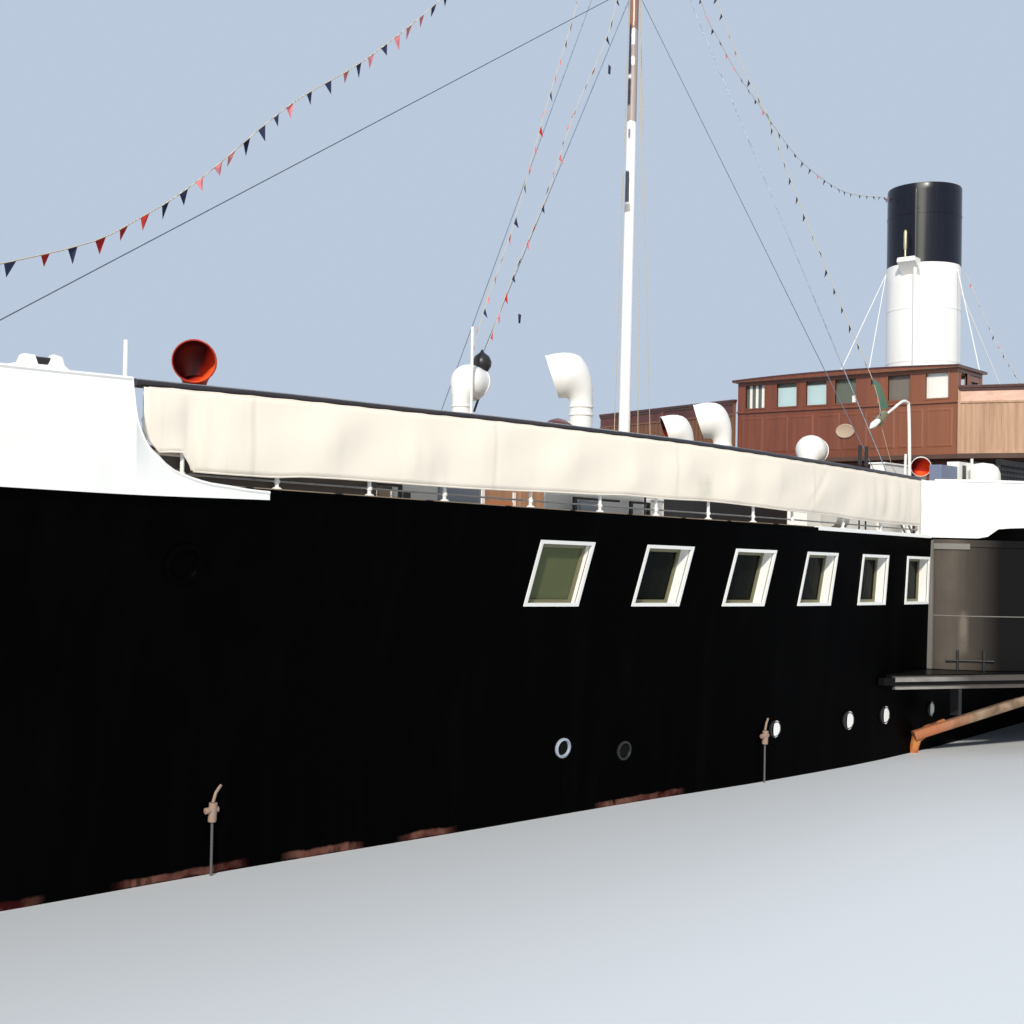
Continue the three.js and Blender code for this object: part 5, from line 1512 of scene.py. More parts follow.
# The bridge: wheelhouse, roof, wing screens and deck
BRIDGE_TOP = 5.621
WHEELHOUSE = {"front": 0.3, "back": -1.2, "half": 2.84, "foot": BRIDGE_TOP, "top": 7.58}
BAND = {"z0": 6.92, "z1": 7.5}
FRONT_WINDOWS = [-2.34, -1.46, -0.66, 0.11, 1.45, 2.36]
FRONT_WIDE = 0.54
SIDE_WINDOW = (-0.25, 0.15)
WHEELHOUSE_DOOR = {"x0": -1.08, "x1": -0.38, "z0": 5.7, "z1": 7.5, "face": 2.84}
HOUSE = {"front": -0.12, "back": -9.2, "half": 2.9, "top": 5.51}
HOUSE_DOOR = {"x0": -7.6, "x1": -6.9, "z0": 3.62, "z1": 5.4, "face": 2.9}
HOUSE_WINDOWS = {"side": [-1.1, -2.4, -3.7, -5.0, -6.1, -8.3], "front": [-1.9, -0.65, 0.65, 1.9],
                 "wide": 0.62, "z0": 4.35, "z1": 5.0}


def wall_panel(build, x0, x1, z0, z1, thick, place, holes):
    """A wall in a plane, cut by rectangular holes. place turns (along, out, z) into a point."""
    us = sorted({x0, x1, *(u for h in holes for u in h[:2])})
    zs = sorted({z0, z1, *(z for h in holes for z in h[2:])})
    solid = {}
    for i in range(len(us) - 1):
        for j in range(len(zs) - 1):
            u, z = (us[i] + us[i + 1]) / 2, (zs[j] + zs[j + 1]) / 2
            solid[i, j] = not any(h[0] < u < h[1] and h[2] < z < h[3] for h in holes)

    def quad(points):
        build.add([place(*p) for p in points], QUAD)

    for (i, j), full in solid.items():
        if not full:
            continue
        a, b, c, d = us[i], us[i + 1], zs[j], zs[j + 1]
        quad([(a, 0, c), (b, 0, c), (b, 0, d), (a, 0, d)])
        quad([(a, -thick, d), (b, -thick, d), (b, -thick, c), (a, -thick, c)])
        if not solid.get((i - 1, j)):
            quad([(a, -thick, c), (a, 0, c), (a, 0, d), (a, -thick, d)])
        if not solid.get((i + 1, j)):
            quad([(b, 0, c), (b, -thick, c), (b, -thick, d), (b, 0, d)])
        if not solid.get((i, j - 1)):
            quad([(a, -thick, c), (b, -thick, c), (b, 0, c), (a, 0, c)])
        if not solid.get((i, j + 1)):
            quad([(a, 0, d), (b, 0, d), (b, -thick, d), (a, -thick, d)])


def front_place(x):
    return lambda y, out, z: (x + out, y, z)


def back_place(x):
    return lambda y, out, z: (x - out, -y, z)


def side_place(y, side):
    if side > 0:
        return lambda x, out, z: (-x, y + out, z)
    return lambda x, out, z: (x, -y - out, z)


def along_wall(side, *stations):
    """Stations x in a side wall's own direction, the lowest first."""
    return sorted(-side * x for x in stations)


def rectangle(place, u0, u1, z0, z1, out):
    return [place(u, out, z) for u, z in ((u0, z0), (u1, z0), (u1, z1), (u0, z1))]


def trim_box(build, place, u0, u1, out0, out1, z0, z1):
    corners = [place(u, o, z) for z in (z0, z1) for o in (out0, out1) for u in (u0, u1)]
    build.add(corners, turned_in(BOX_FACES))


def window_trim(build, place, u0, u1, z0, z1, wide=0.05, out=0.018, inside=-0.03):
    for a, b, c, d in ((u0 - wide, u1 + wide, z1, z1 + wide), (u0 - wide, u1 + wide, z0 - wide, z0),
                       (u0 - wide, u0, z0, z1), (u1, u1 + wide, z0, z1)):
        trim_box(build, place, a, b, inside, out, c, d)


def raised_panels(build, place, u0, u1, z0, z1, count, gap=0.07):
    """Framed panels: flat fields with a sloped border, standing a little proud."""
    wide = (u1 - u0 - gap * (count + 1)) / count
    for i in range(count):
        a = u0 + gap + i * (wide + gap)
        b, c, d = a + wide, z0 + gap, z1 - gap

        def field(inset, out):
            return rectangle(place, a + inset, b - inset, c + inset, d - inset, out)

        for out0, out1, inset in ((0.0, 0.01, 0.0), (0.01, 0.01, 0.03), (0.01, 0.003, 0.045)):
            build.rings([field(inset, out0), field(inset + 0.03, out1)], caps=False)
        build.add(field(0.075, 0.003), QUAD)


def make_wheelhouse():
    w, band = WHEELHOUSE, BAND
    walls, trim, panels, glass = Build(), Build(), Build(), Build()
    ends = {"front": front_place(w["front"]), "back": back_place(w["back"])}
    for name, place in ends.items():
        holes = [(y - FRONT_WIDE / 2, y + FRONT_WIDE / 2, band["z0"], band["z1"])
                 for y in ([-v for v in FRONT_WINDOWS] if name == "back" else FRONT_WINDOWS)]
        wall_panel(walls, -w["half"], w["half"], w["foot"], w["top"], 0.06, place, holes)
        for u0, u1, z0, z1 in holes:
            window_trim(trim, place, u0, u1, z0, z1, wide=0.035, out=0.014)
        raised_panels(panels, place, -w["half"] + 0.04, w["half"] - 0.04, w["foot"] + 0.1, 6.76, 8)
        trim_box(trim, place, -w["half"] - 0.01, w["half"] + 0.01, 0.0, 0.045, 6.8, 6.85)
        trim_box(trim, place, -w["half"], w["half"], 0.0, 0.025, w["foot"] + 0.005, w["foot"] + 0.12)
    inner = w["front"] - 0.06
    glass.box(inner - 0.022, inner - 0.006, -2.76, 2.76, band["z0"] - 0.04, band["z1"] + 0.04)
    for side in SIDES:
        place = side_place(w["half"], side)
        door = WHEELHOUSE_DOOR
        window = (*along_wall(side, *SIDE_WINDOW), band["z0"], band["z1"])
        doorway = (*along_wall(side, door["x0"], door["x1"]), door["z0"], band["z1"])
        u0, u1 = along_wall(side, w["back"] + 0.06, w["front"] - 0.06)
        wall_panel(walls, u0, u1, w["foot"], w["top"], 0.06, place, [window, doorway])
        window_trim(trim, place, *window, wide=0.035, out=0.014)
        glass.box(-0.31, inner - 0.03, side * 2.755, side * 2.77, band["z0"] - 0.04, band["z1"] + 0.04)
    house = walls.piece("wheelhouse_walls", VARNISH, "varnished_wood", smooth=False)
    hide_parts("wheelhouse")
    trim.piece("wheelhouse_mouldings", VARNISH, "varnished_wood", smooth=False)
    panels.piece("wheelhouse_panels", PANEL_WOOD, "varnished_wood", smooth=False)
    pane_piece = glass.piece("wheelhouse_panes", CLEAR, "glass", smooth=False)
    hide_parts("wheelhouse_glass")
    make_window_backs()
    plate = Build()
    plate.rings([[(0.32 + out, 0.12 + 0.24 * r * c, 6.25 + 0.17 * r * s) for c, s in circle(32)]
                 for r, out in ((1.0, 0.0), (1.0, 0.02), (0.9, 0.028), (0.82, 0.02), (0.02, 0.02))])
    plate.piece("wheelhouse_oval_plate", CREAM, "white_paint")


WINDOW_BACKS = [  # what shows behind the front glass: middle y, width, low and high z, what it is
    (-2.34, 0.6, 6.9, 7.52, "green"), (-2.51, 0.07, 6.92, 7.5, "white"), (-2.34, 0.07, 6.92, 7.5, "white"),
    (-2.17, 0.07, 6.92, 7.5, "white"), (-1.46, 0.6, 6.9, 7.4, "pale"), (-1.46, 0.6, 7.4, 7.52, "green"),
    (-0.66, 0.6, 6.9, 7.42, "pale"), (-0.66, 0.6, 7.42, 7.52, "green"), (0.11, 0.6, 6.9, 7.52, "green"),
    (0.28, 0.09, 6.94, 7.1, "white"), (1.45, 0.6, 6.9, 7.52, "olive"), (2.36, 0.56, 6.9, 7.5, "white"),
]


def make_window_backs():
    """Blinds, shutters and boards that stand behind the wheelhouse's front windows."""
    builds = {tone: Build() for tone in ("green", "white", "pale", "olive")}
    finish = {"green": DEEP_GREEN, "white": WHITE, "pale": TURQUOISE, "olive": BLIND_GREY}
    for y, wide, z0, z1, tone in WINDOW_BACKS:
        x = 0.205 if tone == "white" else 0.185
        builds[tone].box(x, x + 0.008, y - wide / 2, y + wide / 2, z0, z1)
    for tone, build in builds.items():
        build.piece(f"wheelhouse_blinds_{tone}", finish[tone], "white_paint", smooth=False)


def make_roof():
    w = WHEELHOUSE
    front, back, half = w["front"] + 0.14, w["back"] - 0.07, w["half"] + 0.06
    foot = w["top"] + 0.001
    roof, edge_wood, line = Build(), Build(), Build()
    steps = [-half + 2 * half * i / 24 for i in range(25)]

    def crown(y):
        return foot + 0.055 + 0.07 * (1 - (y / half) ** 2)

    roof.rings([[(x, y, crown(y)) for y in steps] + [(x, y, foot + 0.01) for y in reversed(steps)]
                for x in (back, front)])
    made = roof.piece("wheelhouse_roof_canvas", GREY_CANVAS, "white_paint", angle=40)
    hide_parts("wheelhouse_roof")
    for x, out in ((front, 1), (back, -1)):
        for a, b in zip(steps, steps[1:]):
            for build, low, high, proud in ((edge_wood, -0.09, -0.04, 0.02), (line, -0.04, 0.006, 0.026)):
                pts = [(x, a), (x + out * proud, a), (x + out * proud, b), (x, b)]
                bottom = [(px, py, foot + 0.004 if low < -0.05 else crown(py) + low) for px, py in pts]
                ring = [bottom, [(px, py, crown(py) + high) for px, py in pts]]
                build.rings(ring if out < 0 else [list(reversed(r)) for r in ring])
    for side in SIDES:
        edge_wood.box(back - 0.02, front + 0.02, side * half, side * (half + 0.02), foot, foot + 0.02)
        line.box(back - 0.025, front + 0.025, side * (half - 0.004), side * (half + 0.024),
                 foot + 0.02, foot + 0.06)
    edge_wood.piece("wheelhouse_roof_edge", VARNISH, "varnished_wood", smooth=False)
    line.piece("wheelhouse_roof_line", RAIL_WOOD, "varnished_wood", smooth=False)


SCREEN = {"from": (0.36, 2.9), "to": (-1.25, 8.3), "foot": BRIDGE_TOP}
BOARD_WIDE = 0.15


def make_wing_screens():
    """Boarded screens on the wings: lighter copies of the wood to port, which are painted sunlight, and
    darker wood to starboard.
    """
    cap = Build()
    (x0, y0), (x1, y1) = SCREEN["from"], SCREEN["to"]
    length = math.hypot(x1 - x0, y1 - y0)
    along = ((x1 - x0) / length, (y1 - y0) / length)
    for side, name in SIDES.items():
        boards, top_board, back = Build(), Build(), Build()

        def slab(build, u0, u1, o0, o1, z0, z1):
            corners = [(x0 + along[0] * u + along[1] * o, side * (y0 + along[1] * u - along[0] * o), z)
                       for z in (z0, z1) for o in (o0, o1) for u in (u0, u1)]
            build.add(corners, BOX_FACES if side < 0 else turned_in(BOX_FACES))

        slab(back, 0, length, -0.045, -0.02, SCREEN["foot"], 7.1)
        count = int(length / BOARD_WIDE)
        for i in range(count):
            a = i * length / count
            lean = random.uniform(-0.002, 0.002)
            slab(boards, a + 0.006, a + length / count - 0.006, -0.02, 0.0 + lean, 5.66, 6.79)
            slab(boards, a - 0.016, a + 0.016, -0.004, 0.014, 5.66, 6.79)
        for i in range(4):
            a = i * length / 4
            slab(top_board, a + 0.004, a + length / 4 - 0.004, -0.02, 0.008, 6.79, 7.08)
            slab(boards, a - 0.03, a + 0.03, -0.01, 0.03, 5.63, 7.08)
        slab(boards, 0, length, -0.02, 0.022, 5.63, 5.7)
        slab(boards, 0, length, -0.01, 0.028, 6.765, 6.81)
        slab(cap, -0.02, length + 0.02, -0.07, 0.05, 7.1, 7.17)
        slab(cap, -0.01, length + 0.01, -0.055, 0.035, 7.04, 7.1)
        # to port, the lighter copies of the wood: painted sunlight
        plain, pale = (SCREEN_WOOD, TOP_BOARD_WOOD) if side < 0 else (SUNLIT_SCREEN_WOOD, SUNLIT_TOP_BOARD)
        made = boards.piece(f"wing_screen_boards_{name}", plain, "plain_timber", smooth=False)
        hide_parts(f"wing_screen_{name}")
        back.piece(f"wing_screen_back_{name}", SCREEN_WOOD, "plain_timber", smooth=False)
        top_board.piece(f"wing_screen_top_boards_{name}", pale, "plain_timber", smooth=False)
    cap.piece("wing_screen_caps", RAIL_WOOD, "varnished_wood", smooth=False, bevel=0.01)


def make_door(name, door, body, side):
    """A framed door leaf with a panel, a window, hinges and a brass handle."""
    wood_part, brass, glass = Build(), Build(), Build()
    face = door["face"]
    place = side_place(face, side)
    u0, u1 = along_wall(side, door["x0"] + 0.012, door["x1"] - 0.012)
    z0, z1 = door["z0"] + 0.012, door["z1"] - 0.012
    light = (u0 + 0.12, u1 - 0.12, z1 - 0.75, z1 - 0.14)

    def inset(u, out, z):
        return place(u, out - 0.01, z)

    wall_panel(wood_part, u0, u1, z0, z1, 0.04, inset, [light])
    window_trim(wood_part, place, *light, wide=0.025, out=0.004, inside=-0.012)
    raised_panels(wood_part, inset, u0 + 0.03, u1 - 0.03, z0 + 0.08, z1 - 0.85, 1, gap=0.06)
    glass.add(rectangle(place, *light, -0.028), QUAD)
    pivot = face + 0.0247
    for z in (door["z0"] + 0.3, door["z1"] - 0.3):
        brass.post(door["x0"], side * pivot, z - 0.08, z + 0.08, 0.024, 14)
        brass.box(door["x0"] + 0.014, door["x0"] + 0.3, side * (face - 0.008), side * (face + 0.02),
                  z - 0.028, z + 0.028)
    knob_x, knob_z = door["x1"] - 0.09, door["z0"] + 0.95
    brass.tube([(knob_x, side * (face - 0.012), knob_z), (knob_x, side * (face + 0.04), knob_z),
                (knob_x - 0.09, side * (face + 0.045), knob_z)], 0.011, 8)
    leaf = wood_part.piece(f"{name}_leaf", VARNISH, "varnished_wood", body, smooth=False)
    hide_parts(body)
    brass.piece(f"{name}_brass", BRASS, "wire", body)
    glass.piece(f"{name}_pane", DARK_PANE, "glass", body, smooth=False)


def glaze(trim, glass, place, holes):
    for hole in holes:
        window_trim(trim, place, *hole)
        glass.add(rectangle(place, *hole, -0.05), QUAD)


def make_deckhouse():
    h, windows = HOUSE, HOUSE_WINDOWS
    walls, trim, glass = Build(), Build(), Build()
    half_wide = windows["wide"] / 2
    foot = 3.63
    for name, place in (("front", front_place(h["front"])), ("back", back_place(h["back"]))):
        holes = []
        if name == "front":
            holes = [(y - half_wide, y + half_wide, windows["z0"], windows["z1"]) for y in windows["front"]]
        wall_panel(walls, -h["half"], h["half"], foot, h["top"], 0.08, place, holes)
        glaze(trim, glass, place, holes)
        for y in (-h["half"] + 0.04, h["half"] - 0.04):
            trim_box(trim, place, y - 0.05, y + 0.05, 0.0, 0.02, foot, h["top"])
        trim_box(trim, place, -h["half"], h["half"], 0.0, 0.03, foot, foot + 0.16)
        trim_box(trim, place, -h["half"], h["half"], 0.0, 0.03, 4.2, 4.25)
    for side in SIDES:
        place = side_place(h["half"], side)
        holes = [(-side * x - half_wide, -side * x + half_wide, windows["z0"], windows["z1"])
                 for x in windows["side"]]
        u0, u1 = along_wall(side, HOUSE_DOOR["x0"], HOUSE_DOOR["x1"])
        door = (u0, u1, HOUSE_DOOR["z0"], HOUSE_DOOR["z1"])
        a, b = along_wall(side, h["back"] + 0.08, h["front"] - 0.08)
        wall_panel(walls, a, b, foot, h["top"], 0.08, place, [*holes, door])
        glaze(trim, glass, place, holes)
        for c, d in ((a, u0 - 0.02), (u1 + 0.02, b)):
            trim_box(trim, place, c, d, 0.0, 0.025, foot, foot + 0.14)
            trim_box(trim, place, c, d, 0.0, 0.025, 4.2, 4.24)
        trim_box(trim, place, a, b, 0.0, 0.03, h["top"] - 0.09, h["top"])
    made = walls.piece("deckhouse_walls", HOUSE_WOOD, "varnished_wood", smooth=False)
    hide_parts("deckhouse")
    trim.piece("deckhouse_mouldings", VARNISH, "varnished_wood", smooth=False)
    glass.piece("deckhouse_panes", DARK_PANE, "glass", smooth=False)


make_wheelhouse()
make_roof()
make_wing_screens()
make_deckhouse()
for door_side, door_name in SIDES.items():
    make_door(f"wheelhouse_door_{door_name}", WHEELHOUSE_DOOR, f"wheelhouse_door_{door_name}", door_side)
    make_door(f"deckhouse_door_{door_name}", HOUSE_DOOR, f"deckhouse_door_{door_name}", door_side)


# The funnel with its hoops, pipe, whistle and guys
FUNNEL_AT = {"x": FUNNEL_X, "r": 0.96, "top": 13.08}
FUNNEL_HOOPS = (6.9, 8.4, 9.8, 12.3)
PIPE_CLIPS = (7.2, 9.0, 10.6, 12.4)
FUNNEL_GUYS = [  # from the funnel's upper part down to the roof and the deckhouse
    ((-4.12, -0.9, 10.86), (0.25, -0.05, 7.72)), ((-4.12, -0.9, 10.86), (0.2, 0.65, 7.71)),
    ((-4.4, 0.97, 10.8), (-1.15, 2.8, 7.62)), ((-5.3, 0.55, 10.8), (-8.8, 1.6, 5.66)),
    ((-5.3, -0.55, 10.8), (-8.8, -1.6, 5.66)),
]


def make_funnel():
    f = FUNNEL_AT
    shell, hoops, pipe, guys = Build(), Build(), Build(), Build()
    foot, r = BRIDGE_TOP, f["r"]
    profile = [(r + 0.15, 0), (r + 0.15, 0.03), (r + 0.13, 0.16), (r + 0.04, 0.25), (r, 0.32)]
    profile += [(r, z - foot) for z in span(6.2, 12.9, 0.6)]
    profile += [(r, 13.05 - foot), (r - 0.01, f["top"] - foot), (r - 0.05, f["top"] - foot),
                (r - 0.06, 6.2 - foot), (0.02, 6.1 - foot)]
    shell.lathe((f["x"], 0, foot), profile, 72)
    made = shell.piece("funnel_casing", FUNNEL, "white_paint", angle=50)
    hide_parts("funnel")
    for z in FUNNEL_HOOPS:
        hoops.lathe((f["x"], 0, z), [(r - 0.002, -0.03), (r + 0.008, -0.024), (r + 0.008, 0.024),
                                     (r - 0.002, 0.03)], 72)
    hoops.piece("funnel_hoops", FUNNEL, "white_paint")
    px = f["x"] + r + 0.08
    pipe.tube([(px, 0.2, 5.7), (px, 0.2, 12.75), (px - 0.02, 0.2, 12.87)], 0.05, 14)
    for z in PIPE_CLIPS:
        pipe.box(f["x"] + r - 0.03, px, 0.17, 0.23, z - 0.02, z + 0.02)
    pipe.piece("steam_pipe", FUNNEL, "white_paint")
    whistle = Build()
    whistle.post(px + 0.1, -0.03, 10.9, 11.55, 0.028, 12)
    whistle.lathe((px + 0.1, -0.03, 11.3), [
        (0.03, 0), (0.045, 0.03), (0.045, 0.45), (0.03, 0.5), (0.01, 0.52)], 18)
    whistle.piece("steam_whistle", PALE_BRASS, "wire")
    shelf = Build()
    shelf.rings([[(x, -0.2, z0), (x, 0.3, z0), (x, 0.3, 11.05), (x, -0.2, 11.05)]
                 for x, z0 in ((px - 0.1, 10.65), (px + 0.02, 10.8), (px + 0.24, 10.96))])
    shelf.tube([(px + 0.22, -0.18, 11.05), (px + 0.22, 0.28, 11.05)], 0.03, 8)
    shelf.piece("whistle_bracket", WHITE, "white_paint", angle=35)
    for start, end in FUNNEL_GUYS:
        guys.tube([start, end], 0.012, 5)
        guys.lathe((*start[:2], start[2] - 0.03),
                   [(0.01, 0), (0.035, 0.01), (0.035, 0.05), (0.01, 0.06)], 10)
    guys.piece("funnel_guys", WHITE, "wire")


make_funnel()


# Fittings along the port and starboard sides of the fore deck and by the bridge
FORE_LOCKERS = [  # x, x, y, y and top of the white lockers near the rails abreast the bridge
    (2.9, 4.07, 2.5, 2.8, 5.2), (4.12, 4.6, 2.55, 2.95, 4.45), (4.72, 6.48, 2.55, 2.95, 4.3),
    (7.12, 7.67, 2.55, 2.95, 4.2),
]


def make_davits():
    build, falls, block = Build(), Build(), Build()
    for side in SIDES:
        path = smooth_line([(5.36, 3.9, 3.75), (5.38, 3.9, 5.2), (5.44, 3.9, 6.14), (5.52, 3.9, 6.27),
                            (5.75, 3.9, 6.26), (6.15, 3.9, 6.09), (6.6, 3.9, 5.9)], 6)
        count = len(path)
        build.tube(flipped(path, side), [0.034 - 0.014 * i / count for i in range(count)], 14)
        build.lathe((5.36, side * 3.9, 3.7), [(0.12, 0), (0.12, 0.03), (0.06, 0.08), (0.06, 0.42),
                                              (0.034, 0.46)], 20)
        build.tube([(5.62, side * 3.9, 3.75), (5.56, side * 3.9, 5.28)], 0.025, 8)
        block.tube([(6.52, side * 3.9, 5.97), (6.78, side * 3.9, 5.8)], [0.07, 0.09], 10)
        build.tube([(6.78, side * 3.9, 5.82), (7.0, side * 3.9, 5.72), (7.12, side * 3.9, 5.66)],
                   [0.05, 0.06, 0.015], 10)
        falls.tube([(6.7, side * 3.9, 5.8), (6.2, side * 3.92, 5.0), (5.6, side * 3.95, 4.6)], 0.006, 6)
    made = build.piece("davit_poles", WHITE, "white_paint")
    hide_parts("davit_port", "davit_starboard")
    falls.piece("davit_falls", ROPE, "canvas")
    block.piece("davit_blocks", OLIVE, "plain_timber")


UNDER_RAIL = [  # x, x, low and high over the deck's edge, inset and paint of what shows under the canvas
    # the first, a long dark brown board, is painted shade under the canvas's fore end
    (22.05, 19.36, 0.0, 0.3, 0.22, "brown"), (19.34, 19.28, 0.0, 0.3, 0.6, "white"),
    (19.34, 18.72, 0.2, 0.23, 0.58, "dark"), (19.22, 19.06, 0.0, 0.19, 0.62, "green"),
    (19.02, 18.86, 0.0, 0.17, 0.62, "cream"), (18.82, 18.77, 0.0, 0.3, 0.6, "white"),
    (18.74, 18.7, 0.0, 0.22, 0.6, "dark"), (18.66, 18.58, 0.0, 0.16, 0.6, "dark"),
    (18.66, 18.08, 0.0, 0.3, 0.72, "white"), (18.07, 17.45, 0.0, 0.4, 0.7, "grey"),
    (16.25, 14.4, 0.0, 0.4, 0.8, "white"), (15.91, 15.08, 0.22, 0.25, 0.6, "dark"),
    (15.93, 15.88, 0.0, 0.25, 0.6, "dark"), (15.8, 15.45, 0.0, 0.21, 0.62, "grey"),
    (14.86, 14.82, 0.0, 0.25, 0.6, "dark"), (14.84, 14.49, 0.22, 0.25, 0.6, "dark"),
    (14.51, 14.47, 0.0, 0.25, 0.6, "dark"),
]


def make_under_rail():
    """Low boards, frames and boxes that stand on the deck just inside the fore rails; the long brown board
    at the fore end is a dark sheet of painted shade.
    """
    finish = {"brown": SHADE_BROWN, "white": WHITE, "dark": BLACK, "green": DEEP_GREEN, "cream": CREAM,
              "grey": GREY}
    builds = {tone: Build() for tone in finish}
    for side in SIDES:
        for x0, x1, low, high, inset, tone in UNDER_RAIL:
            steps = max(1, round(abs(x1 - x0) / 0.3))
            corners = ((0, low), (0.04, low), (0.04, high), (0, high))
            builds[tone].rings([[edge(x, inset + d, h, side) for d, h in corners]
                                for x in (x0 + (x1 - x0) * k / steps for k in range(steps + 1))])
    for tone, build in builds.items():
        build.piece(f"fore_deck_gear_{tone}", finish[tone], "plain_timber", smooth=False)


def make_fore_fittings():
    """What shows under the canvas: white lockers, a grey bundle, the mast's pin rail and bollards; the black
    bollards also stand for the shade under the canvas near the bow.
    """
    white, grey, dark, iron = Build(), Build(), Build(), Build()
    for side in SIDES:
        for x0, x1, y0, y1, top in FORE_LOCKERS:
            white.box(x0, x1, side * y0, side * y1, deck_z(x0) + 0.05, top)
            white.box(x0 - 0.03, x1 + 0.03, side * (y0 - 0.03), side * (y1 + 0.03), top, top + 0.035)
        grey.tube([(6.55, side * 3.06, 4.02), (7.06, side * 3.06, 4.05)], 0.2, 14)
        # the black bollards and their bed are also dark shapes for the shade under the canvas here: painted
        # shade
        for x in (19.6, 20.6):
            iron.post(x, side * 3.35, 3.9, 4.28, 0.13, 18)
            iron.post(x, side * 3.35, 4.28, 4.33, 0.17, 18)
        iron.box(19.3, 20.9, side * 3.15, side * 3.55, 3.9, 3.97)
        dark.box(9.46, 10.86, side * 0.27, side * 0.33, 4.31, 4.37)
    for x in (9.5, 10.8):
        dark.box(x - 0.04, x + 0.04, -0.33, 0.33, 4.31, 4.36)
        for side in SIDES:
            dark.post(x, side * 0.3, 3.78, 4.33, 0.03, 8)
    for x in (8.55, 9.06):
        dark.post(x, 0.0, 3.76, 4.4, 0.025, 8)
    dark.tube([(8.52, 0.0, 4.4), (9.09, 0.0, 4.4)], 0.022, 8)
    for side in SIDES:
        for x in (9.54, 9.3):
            dark.post(x, side * 4.85, 3.76, 4.85, 0.014, 8)
            dark.post(x, side * 4.85, 4.85, 5.16, 0.03, 10)
    white.piece("deck_lockers", WHITE, "white_paint", smooth=False, bevel=0.01)
    grey.piece("rolled_canvas", GREY_CANVAS, "canvas")
    dark.piece("mast_pin_rail", BLACK, "black_iron")
    iron.piece("mooring_bollards", BLACK, "black_iron")


GRATING_RAILS = [  # y, y, low and high of the rails that hold the side gratings' slats
    (4.19, 4.27, 5.06, 5.1), (4.19, 4.27, 5.17, 5.21), (4.18, 4.28, 5.28, 5.4), (4.18, 4.28, 4.26, 4.32)]


def make_bridge_gear():
    """Under the port and starboard wings: boxes, a white dome, slatted side and a post lamp."""
    grey, white, dark = Build(), Build(), Build()
    for side in SIDES:
        grey.box(3.24, 4.08, side * 3.75, side * 4.0, 3.7, 5.16)
        white.box(2.5, 3.16, side * 3.75, side * 4.0, 3.68, 5.27)
        dark.box(2.82, 2.98, side * 3.98, side * 4.015, 4.6, 5.2)
        white.post(3.0, side * 4.2, 3.66, 5.33, 0.03, 8)
        white.lathe((2.4, side * 4.2, 3.68), [
            (0.36, 0), (0.36, 1.25), (0.35, 1.38), (0.3, 1.5), (0.2, 1.57), (0.01, 1.6)], 28)
        for k in range(22):
            x = 1.52 - 0.09 * k
            dark.box(x - 0.02, x + 0.02, side * 4.2, side * 4.26, 4.3, 5.3)
        for y0, y1, z0, z1 in GRATING_RAILS:
            dark.box(-0.45, 1.6, side * y0, side * y1, z0, z1)
        dark.post(1.56, side * 4.23, 3.68, 5.34, 0.04, 8)
        dark.post(-0.4, side * 4.23, 3.6, 5.3, 0.04, 8)
    grey.piece("bridge_lockers", LOCKER_GREY, "white_paint", smooth=False, bevel=0.012)
    white.piece("compass_cover", WHITE, "white_paint")
    dark.piece("side_gratings", BLACK, "black_iron", smooth=False)
    lamp = Build()
    lamp.post(13.84, 0.25, 3.75, 6.92, 0.025, 10)
    lamp.piece("lamp_pole", WHITE, "white_paint")
    ball = Build()
    ball.lathe((13.32, 0.0, 6.26), [(0.02, -0.3), (0.02, 0), (0.1, 0.02), (0.15, 0.1), (0.16, 0.18),
                                    (0.12, 0.27), (0.04, 0.33), (0.01, 0.38)], 20)
    ball.tube([(13.32, 0.0, 5.98), (13.6, 0.1, 5.6)], 0.02, 8)
    ball.piece("deck_lamp", BLACK, "black_iron")
    dome = Build()
    dome.lathe((12.05, 0.6, 5.14), [
        (0.07, -1.4), (0.07, -0.1), (0.3, -0.02), (0.3, 0.12), (0.34, 0.14), (0.34, 0.2), (0.26, 0.33),
        (0.13, 0.42), (0.01, 0.45)], 28)
    dome.piece("maroon_vent_dome", DARK_RED, "red_paint")


make_davits()
make_under_rail()
make_fore_fittings()
make_bridge_gear()


# On the hull's side: the mooring ring, and drain pipes with their valves
DRAINS = [(20.77, 0.66), (11.93, 0.67)]  # x and the valve's height
VALVE = [  # its cross bar, body and lever: points ahead, up and out from the hull, radius and sides
    (((0.09, 0.02, 0.05), (-0.06, 0.03, 0.05)), 0.035, 12), (((0, -0.1, 0.05), (0, 0.1, 0.05)), 0.045, 14),
    (((0, 0.1, 0.04), (-0.03, 0.2, 0.03), (-0.1, 0.27, 0)), 0.018, 8)]


def make_hull_fittings():
    ring, pipes, valves = Build(), Build(), Build()
    for side in SIDES:
        round_on_hull(ring, 21.55, 3.28, side, [(0.2, 0.0), (0.21, 0.035), (0.16, 0.05), (0.14, 0.02),
                                                (0.14, -0.01)])
    for x, top in DRAINS:
        foot = skin(x, top - 0.08, PORT, 0.05)
        pipes.tube([foot, (foot[0], foot[1], 0.0)], 0.014, 10)
        for points, radius, sides in VALVE:
            valves.tube([skin(x + dx, top + dz, PORT, out) for dx, dz, out in points], radius, sides)
    ring.piece("hull_mooring_rings", HULL_BLACK, "hull_paint")
    pipes.piece("hull_drain_pipes", DULL_PIPE, "wire")
    valves.piece("hull_drain_valves", WORN_BRONZE, "wire", bevel=0.008)


make_hull_fittings()


